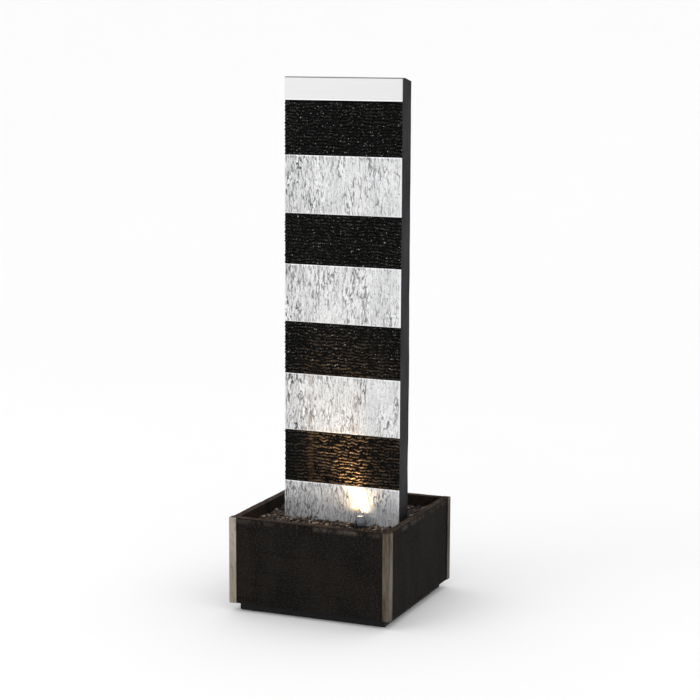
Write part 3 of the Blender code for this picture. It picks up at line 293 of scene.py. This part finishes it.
def moulded(name, colour, roughness, texture=1100.0):
    """Moulded plastic or rubber: spark-eroded grain, faint flow clouds and handling dust."""
    material, place = finish(name, {"Specular IOR Level": 0.25})
    clouds = place.noise((18, 18, 18))
    grain = place.noise((texture, texture, texture), 2.0)
    dust = place.noise((70, 70, 70), 5.0).between(0.52, 0.8)
    plastic = clouds.mix([0.75 * part for part in colour], [1.2 * part for part in colour])
    (dust * 0.2).mix(plastic, [part + 0.03 for part in colour]).into("Base Color")
    (roughness - 0.08 + clouds * 0.08 + dust * 0.12).into("Roughness")
    grain.raise_surface(0.00012)
    return material


tub = moulded("reservoir_plastic", (0.005, 0.0047, 0.0047), 0.7)
dress(tub, "reservoir", "gravel_tray_front", "gravel_tray_rear")
foot_rubber = moulded("foot_rubber", (0.018, 0.018, 0.018), 0.8, 600.0)
dress(foot_rubber, *[f"rubber_foot_{number}" for number in range(1, 5)])
dress(foot_rubber, "pump_pad_front", "pump_pad_rear")

# ---------------------------------------------------------------- plain stainless fittings
# Bearers, bolts, clamps, the shoe under the slab and the cover over the hose are cut from
# satin stainless, drawn along their length and dulled by water marks.

fitting_steel, place = finish("fitting_steel", {"Metallic": 1.0})
drawn = place.noise((900, 60, 60), 2.0)
marks = place.noise((22, 22, 22), 5.0).between(0.40, 0.75)
marks.mix((0.40, 0.40, 0.41), (0.30, 0.295, 0.285)).into("Base Color")
(0.24 + marks * 0.2 + drawn * 0.1).into("Roughness")
drawn.raise_surface(0.00008)
dress(
    fitting_steel,
    "tray_bearer_front",
    "tray_bearer_rear",
    "bearer_bolt_left",
    "bearer_bolt_right",
    "cover_screw_lower",
    "cover_screw_upper",
    "riser_channel_cover",
    "hose_clamp_pump",
    "hose_clamp_top",
    "lamp_bracket",
    "lamp_bezel",
    "lamp_pivot_screw_left",
    "lamp_pivot_screw_right",
    "tower_shoe",
    "spreader_pipe",
    "socket_nut",
)

# ---------------------------------------------------------------- tower slab
# One slab of slate. Its face is sawn across into ridges, whose tops are broken off by hand,
# between the rebates for the steel; the back is split, with a channel sawn for the hose.

PAN_GAP = 0.0003
RIDGE_PITCH = 0.0067
RIDGE_DEPTH = 0.0040
RIDGE_ROW = 0.00112
FACE_CELL = 0.0020
REBATE = 0.0330
POCKET_DEPTH = 0.012
POCKET_HEIGHT = 0.032
POCKET_CHEEK = 0.008
CAP_FLANGE = 0.0145
TOP_FALL = 0.008
BACK_SPLIT = 0.0016
BACK_WASTE = 0.0034
BULGE_HEIGHT = 0.47
BULGE_REACH = 0.16
CHANNEL_CLEARANCE = 0.0015
CHANNEL_ABOVE = 0.012
LIP = 1e-5

low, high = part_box("tower_slab")
cover_low, cover_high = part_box("riser_channel_cover")
hose_low, hose_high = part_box("riser_hose")
steel_boxes = sorted((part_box(f"steel_band_{number}") for number in range(1, 5)), key=lambda pair: pair[0].z)
cap_low, cap_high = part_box("top_cap")
outlet = cap_low.z - 0.003
pocket_top = outlet + POCKET_HEIGHT
tower_middle = (low.x + high.x) / 2
channel_half = (hose_high.x - hose_low.x) / 2 + CHANNEL_CLEARANCE
bands = []
for below, above in zip(steel_boxes, steel_boxes[1:]):
    bands.append((below[1].z + PAN_GAP, above[0].z - PAN_GAP))
bands.append((steel_boxes[-1][1].z + PAN_GAP, outlet))


def ridge_face(x, z, bottom, top):
    """Depth behind the ridges' tops at one point of a ridged band."""
    count = round((top - bottom) / RIDGE_PITCH)
    pitch = (top - bottom) / count
    drift = 0.50 * noise.noise(Vector((x * 19, z * 8, 2.0))) + 0.50 * noise.noise(Vector((x * 95, z * 60, 7.0)))
    run = min(count - 1e-6, max(0.0, (z - bottom) / pitch + drift))
    row = math.floor(run)
    across = run - row
    land = unit(1.55 - 3.6 * abs(across - 0.42))
    broken = noise.noise(Vector((x * 80, row * 5.3, bottom * 90)))
    broken += 0.8 * noise.noise(Vector((x * 240, row * 9.1, z * 190)))
    crest = min(1.0, max(0.10, 0.62 + 0.85 * broken))
    return RIDGE_DEPTH * (1 - land * crest)


def face_depth(x, z):
    """How far the slab's face lies behind its foremost ridges."""
    if outlet < z < pocket_top and low.x + POCKET_CHEEK < x < high.x - POCKET_CHEEK:
        return -REBATE - low.y + POCKET_DEPTH
    for bottom, top in bands:
        if bottom <= z <= top:
            return ridge_face(x, z, bottom, top)
    return -REBATE - low.y


def back_depth(x, z):
    """How far the slab's back lies in front of its rearmost point."""
    if abs(x - tower_middle) < channel_half and z < hose_high.z + CHANNEL_ABOVE:
        return high.y - hose_low.y + 0.001
    across = cover_low.x - PAN_GAP <= x <= cover_high.x + PAN_GAP
    if across and cover_low.z - PAN_GAP <= z <= cover_high.z + PAN_GAP:
        return high.y - cover_low.y + PAN_GAP
    split = 0.5 + 0.5 * noise.noise(Vector((x * 7, 3.0, z * 9)))
    split += 0.25 * noise.noise(Vector((x * 40, 5.0, z * 40)))
    waste = min(1.0, abs(z - BULGE_HEIGHT) / BULGE_REACH)
    waste *= 0.70 + 0.6 * noise.noise(Vector((1.0, 2.0, z * 15)))
    return BACK_SPLIT * unit(split) + BACK_WASTE * min(1.0, waste)


def levels():
    """Heights of the slab's rows: fine over the ridges, coarse behind the steel."""
    heights = [low.z, cover_low.z - PAN_GAP - LIP, cover_low.z - PAN_GAP, cover_high.z + PAN_GAP]
    heights += [cover_high.z + PAN_GAP + LIP, hose_high.z + CHANNEL_ABOVE, high.z]
    start = low.z
    for bottom, top in bands:
        coarse = max(1, round((bottom - start) / 0.008))
        heights += [start + (bottom - start) * step / coarse for step in range(coarse)]
        fine = round((top - bottom) / RIDGE_ROW)
        heights += [bottom - LIP] + [bottom + (top - bottom) * step / fine for step in range(fine + 1)]
        start = top + LIP
    heights += [start, start + 0.012, pocket_top, pocket_top + LIP]
    return sorted(set(round(height, 6) for height in heights))


def edge_points(start, end, cell, extra=()):
    """Even stops from start to end, about a cell apart, with the extra ones among them."""
    count = round(abs(end - start) / cell)
    stops = [start + (end - start) * step / count for step in range(count + 1)]
    return sorted(set(stops) | set(extra), reverse=end < start)


bm = bmesh.new()
chips = bm.verts.layers.float.new("chip")
fronts = bm.verts.layers.float.new("front")
rows = levels()
cheeks = (low.x + POCKET_CHEEK - LIP, high.x - POCKET_CHEEK + LIP)
front = edge_points(low.x, high.x, FACE_CELL, cheeks)
steps = [tower_middle + side * (channel_half + lip) for side in (-1, 1) for lip in (-LIP, LIP)]
steps += [cover_low.x - PAN_GAP - LIP, cover_low.x - PAN_GAP]
steps += [cover_high.x + PAN_GAP, cover_high.x + PAN_GAP + LIP]
back = edge_points(high.x, low.x, 0.008, steps)
sides = [low.y + (high.y - low.y) * step / 14 for step in range(1, 14)]
ring = [(x, low.y) for x in front] + [(high.x, y) for y in sides]
ring += [(x, high.y) for x in back] + [(low.x, y) for y in reversed(sides)]
loop = [bm.verts.new((x, y, rows[0])) for x, y in ring]
edges = [bm.edges.new(pair) for pair in zip(loop, loop[1:] + loop[:1])]
bottom_ring = list(edges)
for below, above in zip(rows, rows[1:]):
    grown = bmesh.ops.extrude_edge_only(bm, edges=edges)["geom"]
    raised = [item for item in grown if isinstance(item, bmesh.types.BMVert)]
    bmesh.ops.translate(bm, verts=raised, vec=(0, 0, above - below))
    edges = [item for item in grown if isinstance(item, bmesh.types.BMEdge)]
    edges = [edge for edge in edges if abs(edge.verts[0].co.z - edge.verts[1].co.z) < 1e-9]
bmesh.ops.contextual_create(bm, geom=bottom_ring)
bmesh.ops.contextual_create(bm, geom=edges)
for vert in bm.verts:
    x, y, z = vert.co
    if y < low.y + 1e-6:
        vert[fronts] = 1.0 if z < outlet else 0.0
        vert.co.y += face_depth(x, z)
        # The chip layer keeps the depth behind the ridge tops, which the slate paints as shade in the valleys.
        broken = RIDGE_DEPTH if any(bottom <= z <= top for bottom, top in bands) else 1.0
        vert[chips] = min(1.0, (vert.co.y - low.y) / broken)
    elif y > high.y - 1e-6:
        vert.co.y -= back_depth(x, z)
    else:
        inner = low.y + face_depth(x, z)
        share = (y - low.y) / (high.y - low.y)
        vert.co.y = inner + (high.y - back_depth(x, z) - inner) * share
        vert.co.x -= math.copysign(0.0008, x - tower_middle) * abs(noise.noise(Vector((y * 60, 1.0, z * 22))))
    over = vert.co.y + (-low.y) - 0.0005 - CAP_FLANGE
    fall = 0.0015 if over < 0 else TOP_FALL * max(0.0, over) / (high.y - low.y - CAP_FLANGE)
    vert.co.z = min(vert.co.z, high.z - fall)
bmesh.ops.recalc_face_normals(bm, faces=bm.faces)

tower_slate, place = finish("tower_slate", {"Specular IOR Level": 0.05})
valley_shade = place.attribute("chip")
patches = place.noise((16, 16, 9), 4.0)
grain = place.noise((300, 300, 360), 4.0)
glint = place.noise((300, 300, 300), 1.0).between(0.70, 0.77)
lime = place.noise((34, 34, 7), 5.0).between(0.60, 0.74)
painted_glint_speckle = place.noise((420, 420, 420), 2.0).between(0.56, 0.70)
across = place.along("X")
up = place.along("Z")
wandering = across + place.noise((40, 40, 55), 3.0) * 0.012
rust = wandering.stripe(-0.0595, -0.0515, -0.0485, -0.0425) * (1 - up.between(0.36, 0.37))
# Painted lamp light: a warm pool on the lower ridges left of the lamp, off the valleys and weaker towards the
# right.
painted_lamp_glow = (1 - up.between(0.36, 0.62)) * across.between(-0.105, -0.03) * (1 - valley_shade)
painted_lamp_glow = painted_lamp_glow * (1 - across.between(0.04, 0.11) * 0.65)
stone = patches.between(0.4, 0.66).mix((0.0004, 0.0004, 0.0004), (0.0035, 0.0033, 0.0031))
stone = (grain.between(0.48, 0.66) * 0.6).mix(stone, (0.022, 0.0215, 0.020))
# Painted glints: fine bright specks over the wet faces.
stone = (painted_glint_speckle * 0.8).mix(stone, (0.12, 0.118, 0.111))
stone = (painted_lamp_glow * grain.between(0.36, 0.56)).mix(stone, (0.135, 0.082, 0.044))
# Painted shade: the valleys between the ridges darken with their depth.
stone = (valley_shade.between(0.35, 0.95) * 0.85).mix(stone, (0.0008, 0.0008, 0.0008))
stone = (lime * 0.35 * (1 - valley_shade)).mix(stone, (0.075, 0.070, 0.058))
stone = (rust * 0.65 * (1 - valley_shade * 0.6)).mix(stone, (0.085, 0.045, 0.024))
stone = (glint * up.between(0.26, 0.50) * (1 - valley_shade * 0.5)).mix(stone, (0.60, 0.59, 0.57))
mottle = (patches * 0.5 + grain * 0.5).between(0.36, 0.64)
split = mottle.mix((0.0085, 0.0085, 0.0095), (0.030, 0.030, 0.033))
place.attribute("front").mix(split, stone).into("Base Color")
(0.42 + grain * 0.3).into("Roughness")
grain.raise_surface(0.0005)
slab = add_piece("sawn_slab", bm, tower_slate, "fountain", math.radians(55))
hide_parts("tower_slab")

# ---------------------------------------------------------------- steel bands
# Four pans folded from 1.2 mm mirror stainless. Water clings to them as a thin film and flows down in wandering
# rivulets, so their faces are never smooth. Their uneven brightness is painted reflection and shade: dark
# flanks of the water, dark crease lines, bright crest lines, glare and edges, a shaded left part and a lighter
# lowest pan.

PAN_WALL = 0.0012
FILM_DEPTH = 0.00045
FILM_CELL = 0.0014
BUSY_WIDTH = 0.09
LIP_REACH = 0.014
BARE_EDGE_HIGHLIGHT = 0.0015
FOLD_REACH = 0.0014
FOLD_DEPTH = 0.0007

band_steel, place = finish("band_steel", {"Metallic": 0.6, "Specular IOR Level": 0.3})
runs_painted_dark = place.attribute("run")
painted_crest_highlights = place.attribute("crest")
threads = place.noise((420, 420, 34), 4.0)
beads = place.noise((330, 330, 210), 2.0).between(0.60, 0.68)
haze = place.noise((22, 22, 9), 3.0)
crinkle = place.noise((150, 150, 34), 6.0)
painted_crease_shade = crinkle.stripe(0.445, 0.485, 0.510, 0.545)
glare = crinkle.stripe(0.535, 0.560, 0.590, 0.620)
crowd = place.noise((34, 34, 14), 3.0).between(0.46, 0.60)
flecks = place.noise((210, 210, 180), 2.0).between(0.66, 0.72)
across = place.along("X")
up = place.along("Z")
shaded = 1 - (across + haze * 0.06).between(-0.10, 0.01)
wet = haze.between(0.25, 0.75).mix((0.68, 0.685, 0.695), (0.86, 0.86, 0.86))
# Painted reflection: the lowest pan, below about 0.2 m, is made lighter and bluer.
wet = ((1 - up.between(0.19, 0.26)) * 0.85).mix(wet, (0.95, 0.96, 1.0))
wet = (threads.between(0.50, 0.72) * 0.45).mix(wet, (0.24, 0.24, 0.25))
wet = (shaded * 0.35).mix(wet, (0.36, 0.365, 0.375))
dense = crowd * 0.55 + shaded * 0.45 + (1 - up.between(0.24, 0.27)) * 0.1
wet = (glare * dense).mix(wet, (0.95, 0.95, 0.96))
# Painted shade in the film's crease lines, heavier where the rivulets crowd and over the shaded left part.
wet = (painted_crease_shade * (0.15 + dense * 1.1)).mix(wet, (0.012, 0.012, 0.014))
wet = (flecks * 0.6).mix(wet, (0.17, 0.165, 0.165))
wet = (beads * 0.4).mix(wet, (0.17, 0.165, 0.165))
wandering = across + place.noise((40, 40, 55), 3.0) * 0.012
rust = wandering.stripe(-0.062, -0.052, -0.048, -0.038) + wandering.stripe(0.032, 0.042, 0.050, 0.060)
low_half = (1 - up.between(0.47, 0.48)) * place.noise((120, 120, 70), 3.0).between(0.48, 0.62)
wet = (rust * low_half * 0.55).mix(wet, (0.26, 0.185, 0.135))
# Painted highlight: a bright line beside each rivulet and along the folded edges.
wet = (painted_crest_highlights * 0.8).mix(wet, (0.92, 0.92, 0.93))
# Painted reflection: the flanks of the rivulets are darkened.
(runs_painted_dark * 0.8).mix(wet, (0.06, 0.06, 0.066)).into("Base Color")
(0.24 + haze * 0.14 + runs_painted_dark * 0.2).into("Roughness")
(threads + beads * 0.6).raise_surface(0.0006)


def rivulet(x, z, top, number):
    """0 on calm film, up to 1 on the flank of a run of water, which the steel darkens as painted reflection."""
    wander = 0.0032 * noise.noise(Vector((x * 34, z * 60, number)))
    wander += 0.0018 * noise.noise(Vector((x * 110, z * 170, number)))
    wander += 0.0009 * noise.noise(Vector((x * 240, z * 430, number)))
    dash = max(0.0, noise.noise(Vector(((x + wander) * 290, z * 62, number * 3.7))) - 0.24) * 2.6
    line = noise.noise(Vector(((x + 1.6 * wander) * 120, z * 24, number * 7.9)))
    thread = max(0.0, 1 - 15 * abs(line))
    crowd = noise.noise(Vector((x * 19, z * 12, number * 5.1)))
    crowd += 1.1 * max(0.0, low.x + BUSY_WIDTH - x) / BUSY_WIDTH
    speck = max(0.0, noise.noise(Vector((x * 330, z * 210, number))) - 0.34) * 2.4
    lip = max(0.0, 0.2 + 1.6 * noise.noise(Vector((x * 210, 4.0, number))))
    lip *= max(0.0, 1 - (top - z) / LIP_REACH)
    share = min(1.0, max(0.12, 0.42 + crowd))
    return min(1.0, dash * share + 0.7 * thread * share + speck + 0.6 * lip)


for number in range(1, 5):
    low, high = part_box(f"steel_band_{number}")
    bm = gridded_box(low, high, (FILM_CELL, 0.002, 0.0018))
    back = [f for f in bm.faces if f.calc_center_median().y > high.y - 1e-6]
    bmesh.ops.delete(bm, geom=back, context="FACES")
    runs_painted_dark = bm.verts.layers.float.new("run")
    painted_crest_highlights = bm.verts.layers.float.new("crest")
    for vert in bm.verts:
        x, y, z = vert.co
        # Painted highlight: the folds and the bare margin of the face are bright, and so is each rivulet's side
        # towards -X.
        vert[painted_crest_highlights] = 1.0
        if y < low.y + 1e-6:
            edge = min(x - low.x, high.x - x, z - low.z, high.z - z)
            run = rivulet(x, z, high.z, number)
            beside = rivulet(x - 1.3 * FILM_CELL, z, high.z, number)
            vert[runs_painted_dark] = run if edge > BARE_EDGE_HIGHLIGHT else 0.0
            vert[painted_crest_highlights] = max(0.0, beside - run) if edge > BARE_EDGE_HIGHLIGHT else 1.0
            swell = 0.5 + 0.5 * noise.noise(Vector((x * 60, z * 18, number)))
            fold = max(0.0, 1 - edge / FOLD_REACH) ** 2 * FOLD_DEPTH
            vert.co.y += FILM_DEPTH * (0.6 * run + 0.4 * swell) + fold
    bmesh.ops.recalc_face_normals(bm, faces=bm.faces)
    pan = add_piece(f"folded_pan_{number}", bm, band_steel, "fountain", math.radians(60))
    wall = pan.modifiers.new("wall", "SOLIDIFY")
    wall.thickness = PAN_WALL
    wall.offset = -1
    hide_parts(f"steel_band_{number}")

# ---------------------------------------------------------------- top cap
# One flanged stainless pan closes the head of the slab over the spreader. No water crosses it, so it stays
# clean and brushed along its length; a painted highlight runs along its bottom fold and a painted shadow line
# along its top edge.

cap_steel, place = finish("band_steel_dry", {"Metallic": 0.7})
lines = place.noise((22, 900, 1500), 3.0)
sheen = place.noise((6, 6, 30), 3.0)
height = place.along("Z")
clean = lines.mix((0.66, 0.66, 0.665), (0.76, 0.76, 0.76))
# Painted highlight along the bottom fold.
clean = (1 - height.between(cap_low.z + 0.0015, cap_low.z + 0.003)).mix(clean, (0.95, 0.95, 0.95))
# Painted shadow line along the top edge: dark over the top 1.4 mm, fading out by 2.4 mm.
height.between(cap_high.z - 0.0024, cap_high.z - 0.0014).mix(clean, (0.12, 0.12, 0.12)).into("Base Color")
(0.3 + lines * 0.1 + sheen * 0.08).into("Roughness")
lines.raise_surface(0.00006)
dress(cap_steel, "top_cap")

# ---------------------------------------------------------------- gravel
# Small tumbled stones of 4 to 9 mm, brown to charcoal and damp, lie on both trays and drop
# away round the lamp. The rear bed lifts out with its tray.

STONE_PITCH = 0.0056
BED_DROP = 0.0045
LAMP_ROOM = 0.0235
LAMP_CLEAR = 0.0165
LAMP_DIP = 0.018
STONE_KINDS = 7
SCATTER = 0.0016
LAYER_RISE = 0.0026
LOOSE_SHARE = 0.26
START_MARGIN = 0.004
END_MARGIN = 0.003

gravel, place = finish("gravel", {"Specular IOR Level": 0.2})
tone = place.attribute("tone")
mottle = place.noise((420, 420, 420), 4.0)
warm = tone.between(0.2, 0.9).mix((0.0025, 0.002, 0.0018), (0.085, 0.052, 0.036))
pale = tone.between(0.86, 0.96).mix(warm, (0.28, 0.215, 0.165))
(mottle.between(0.4, 0.7) * 0.45).mix(pale, (0.022, 0.018, 0.015)).into("Base Color")
(0.42 + mottle * 0.3).into("Roughness")
mottle.raise_surface(0.0004)

dice = random.Random(11)
kinds = []
for kind in range(STONE_KINDS):
    bm = bmesh.new()
    bmesh.ops.create_cube(bm, size=2.0)
    bmesh.ops.subdivide_edges(bm, edges=bm.edges, cuts=1, use_grid_fill=True)
    for vert in bm.verts:
        vert.co.normalize()
        vert.co *= 1 + 0.28 * noise.noise(vert.co * 1.7 + Vector((kind * 4.1, 0, 0)))
    stone = bpy.data.meshes.new(f"stone_{kind}")
    bm.to_mesh(stone)
    bm.free()
    kinds.append(stone)

lamp_low, lamp_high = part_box("lamp_bracket")
lamp_foot = Vector(((lamp_low.x + lamp_high.x) / 2, (lamp_low.y + lamp_high.y) / 2, 0))
socket_low, socket_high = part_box("power_socket")
slab_low, slab_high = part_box("tower_slab")


def bed_top(x, y, level):
    """Height of the gravel at a place, or None where something stands in it."""
    if slab_low.x - 0.002 < x < slab_high.x + 0.002 and slab_low.y - 0.002 < y < slab_high.y + 0.002:
        return None
    if abs(x - socket_low.x / 2 - socket_high.x / 2) < 0.014 and y > socket_low.y - 0.006:
        return None
    away = math.hypot(x - lamp_foot.x, y - lamp_foot.y)
    if away < LAMP_CLEAR:
        return None
    return level - LAMP_DIP * max(0.0, (LAMP_ROOM - away) / (LAMP_ROOM - LAMP_CLEAR))


def add_stone(row, spot, tones):
    """One stone of its own size, shape, turn and tone, added to a row's mesh."""
    first = len(row.verts)
    row.from_mesh(kinds[dice.randrange(STONE_KINDS)])
    row.verts.ensure_lookup_table()
    fresh = row.verts[first:]
    size = dice.triangular(0.0024, 0.0052, 0.0034)
    shape = Matrix.Diagonal((size * dice.uniform(0.9, 1.3), size, size * dice.uniform(0.55, 0.85), 1))
    spin = Matrix.Rotation(dice.uniform(0, 6.283), 4, "Z") @ Matrix.Rotation(dice.gauss(0, 0.35), 4, "X")
    bmesh.ops.transform(row, verts=fresh, matrix=Matrix.Translation(spot) @ spin @ shape)
    tone = dice.random()
    for vert in fresh:
        vert[tones] = tone


def lay_row(pile, y, shift, low, high, layer):
    """Adds one row of stones to the pile: all along it in the first layer, a few in the next."""
    row = bmesh.new()
    tones = row.verts.layers.float.new("tone")
    x = low.x + START_MARGIN + shift
    while x < high.x - END_MARGIN:
        spot = Vector((x + dice.uniform(-SCATTER, SCATTER), y + dice.uniform(-SCATTER, SCATTER), 0))
        level = bed_top(spot.x, spot.y, high.z - BED_DROP)
        if level is not None and (layer == 0 or dice.random() < LOOSE_SHARE):
            spot.z = level + 0.0008 + layer * LAYER_RISE + dice.uniform(0, 0.0012)
            add_stone(row, spot, tones)
        x += STONE_PITCH
    mesh = bpy.data.meshes.new("stone_row")
    row.to_mesh(mesh)
    row.free()
    pile.from_mesh(mesh)
    bpy.data.meshes.remove(mesh)


for bed, body in (("front", "fountain"), ("rear", "rear_tray")):
    node = f"gravel_bed_{bed}"
    low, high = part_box(node)
    bm = bmesh.new()
    bm.verts.layers.float.new("tone")
    bm.from_mesh(frame["nodes"][node].data)
    bmesh.ops.remove_doubles(bm, verts=bm.verts, dist=1e-6)
    for vert in bm.verts:
        vert.co.z = min(vert.co.z, high.z - BED_DROP)
    for layer in range(2):
        y = low.y + START_MARGIN
        shift = 0.0
        while y < high.y - END_MARGIN:
            lay_row(bm, y, shift, low, high, layer)
            y += STONE_PITCH * 0.87
            shift = STONE_PITCH / 2 - shift
    stones = add_piece(f"stones_{bed}", bm, gravel, body, math.radians(75))
    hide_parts(node)

# ---------------------------------------------------------------- pump, hose and leads
# A small submersible pump: black moulded case and strainer, grey dial, ferrite rotor on a
# ceramic shaft. A milky vinyl hose climbs the slab, and two thin leads reach the socket.

dress(moulded("pump_plastic", (0.014, 0.016, 0.017), 0.42), "pump_housing", "pump_back_cover", "strainer_cover")
dress(bpy.data.materials["pump_plastic"], "volute_cover", "impeller")
dress(moulded("dial_plastic", (0.60, 0.58, 0.54), 0.32), "flow_dial")
dress(moulded("pump_coil", (0.05, 0.045, 0.04), 0.55), "pump_coil")
dress(moulded("rotor_ferrite", (0.055, 0.055, 0.06), 0.38, 2200.0), "rotor_magnet")
dress(moulded("shaft_ceramic", (0.78, 0.76, 0.72), 0.2, 3000.0), "rotor_shaft")
dress(moulded("hose_vinyl", (0.34, 0.35, 0.36), 0.28), "riser_hose")
dress(moulded("fitting_plastic", (0.014, 0.014, 0.015), 0.36), "riser_elbow", "power_socket")
dress(moulded("lead_rubber", (0.014, 0.014, 0.014), 0.5), "pump_lead", "lamp_lead")

# ---------------------------------------------------------------- spot lamp
# A cast lamp body in blue-grey enamel stands in the gravel and leans towards the slab. Its
# warm light source sits behind a clear lens in a steel bezel.

BEAM = Vector((-0.330, 0.120, 0.936))
LAMP_GLOW = (1.0, 0.74, 0.42)

lamp_grey, place = finish("lamp_grey", {"Coat Weight": 0.2})
enamel = place.noise((60, 60, 60), 4.0)
scuffs = place.noise((500, 500, 500), 3.0).between(0.62, 0.72)
paint = enamel.mix((0.13, 0.14, 0.16), (0.20, 0.215, 0.24))
(scuffs * 0.5).mix(paint, (0.06, 0.06, 0.065)).into("Base Color")
(0.34 + enamel * 0.2).into("Roughness")
(enamel + scuffs * 0.3).raise_surface(0.0002)
dress(lamp_grey, "lamp_housing")

lamp_glass, place = finish("lamp_glass", {"Roughness": 0.05, "IOR": 1.46, "Emission Strength": 7.0})
ribs = place.noise((900, 900, 200), 2.0)
ribs.mix((1.0, 0.80, 0.50), (1.0, 0.93, 0.76)).into("Base Color")
ribs.mix((1.0, 0.72, 0.38), (1.0, 0.84, 0.58)).into("Emission Color")
dress(lamp_glass, "lamp_lens")

lamp_emitter, place = finish("lamp_emitter", {"Roughness": 0.5, "Emission Strength": 8.0})
place.noise((900, 900, 900), 2.0).mix((1.0, 0.62, 0.25), (1.0, 0.80, 0.45)).into("Base Color")
place.noise((600, 600, 600), 2.0).mix((1.0, 0.66, 0.30), (1.0, 0.78, 0.48)).into("Emission Color")
dress(lamp_emitter, "lamp_led_module")

lens_low, lens_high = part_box("lamp_lens")
for name, power, spread in (("lamp_beam", 6.4, 58), ("lamp_halo", 0.50, 160)):
    beam = bpy.data.lights.new(name, "SPOT")
    beam.energy = power
    beam.color = LAMP_GLOW
    beam.spot_size = math.radians(spread)
    beam.spot_blend = 1.0
    beam.shadow_soft_size = 0.007
    light = bpy.data.objects.new(name, beam)
    bpy.context.scene.collection.objects.link(light)
    light.location = (lens_low + lens_high) / 2 + BEAM * 0.006
    light.rotation_euler = (-BEAM).to_track_quat("Z", "Y").to_euler()
    light.parent = frame["bodies"]["lamp"]

# ---------------------------------------------------------------- studio
# A pale floor that sweeps up behind, an even white surround, one broad soft light from the
# front left, and the camera.

floor, place = finish("studio_floor", {"Roughness": 0.9, "Specular IOR Level": 0.1})
place.noise((2, 2, 2)).mix((0.93, 0.93, 0.93), (0.95, 0.95, 0.95)).into("Base Color")
bm = bmesh.new()
bmesh.ops.create_grid(bm, x_segments=1, y_segments=1, size=6.0)
bmesh.ops.translate(bm, verts=bm.verts, vec=(0, -3.0, 0))
far = [e for e in bm.edges if all(v.co.y > 2.9 for v in e.verts)]
bmesh.ops.spin(bm, geom=far, cent=(0, 3.0, 1.5), axis=(1, 0, 0), angle=math.radians(90), steps=16)
mesh = bpy.data.meshes.new("studio_floor")
bm.to_mesh(mesh)
bm.free()
mesh.shade_smooth()
mesh.materials.append(floor)
sweep = bpy.data.objects.new("studio_floor", mesh)
bpy.context.scene.collection.objects.link(sweep)

world = bpy.data.worlds.new("studio")
bpy.context.scene.world = world
world.use_nodes = True
world.node_tree.nodes["Background"].inputs["Color"].default_value = (1.0, 1.0, 1.0, 1.0)
world.node_tree.nodes["Background"].inputs["Strength"].default_value = 1.04

panel = bpy.data.lights.new("softbox", "AREA")
panel.energy = 12
panel.shape = "RECTANGLE"
panel.size, panel.size_y = 1.6, 2.0
softbox = bpy.data.objects.new("softbox", panel)
bpy.context.scene.collection.objects.link(softbox)
softbox.location = (-1.6, -2.4, 2.2)
softbox.rotation_euler = (softbox.location - Vector((0, 0, 0.5))).to_track_quat("Z", "Y").to_euler()

view = bpy.data.cameras.new("camera")
view.sensor_width = 36.0
view.lens = 100.2
view.clip_end = 50.0
view.shift_x = -0.0035
view.shift_y = -0.0037
camera = bpy.data.objects.new("camera", view)
bpy.context.scene.collection.objects.link(camera)
camera.location = (1.525, -3.624, 1.153)
aim = (Vector(camera.location) - Vector((0.021, 0.0, 0.531))).to_track_quat("Z", "Y").to_matrix()
camera.rotation_euler = (aim @ Matrix.Rotation(math.radians(0.27), 3, "Z")).to_euler()
bpy.context.scene.camera = camera
bpy.context.scene.view_settings.view_transform = "Standard"
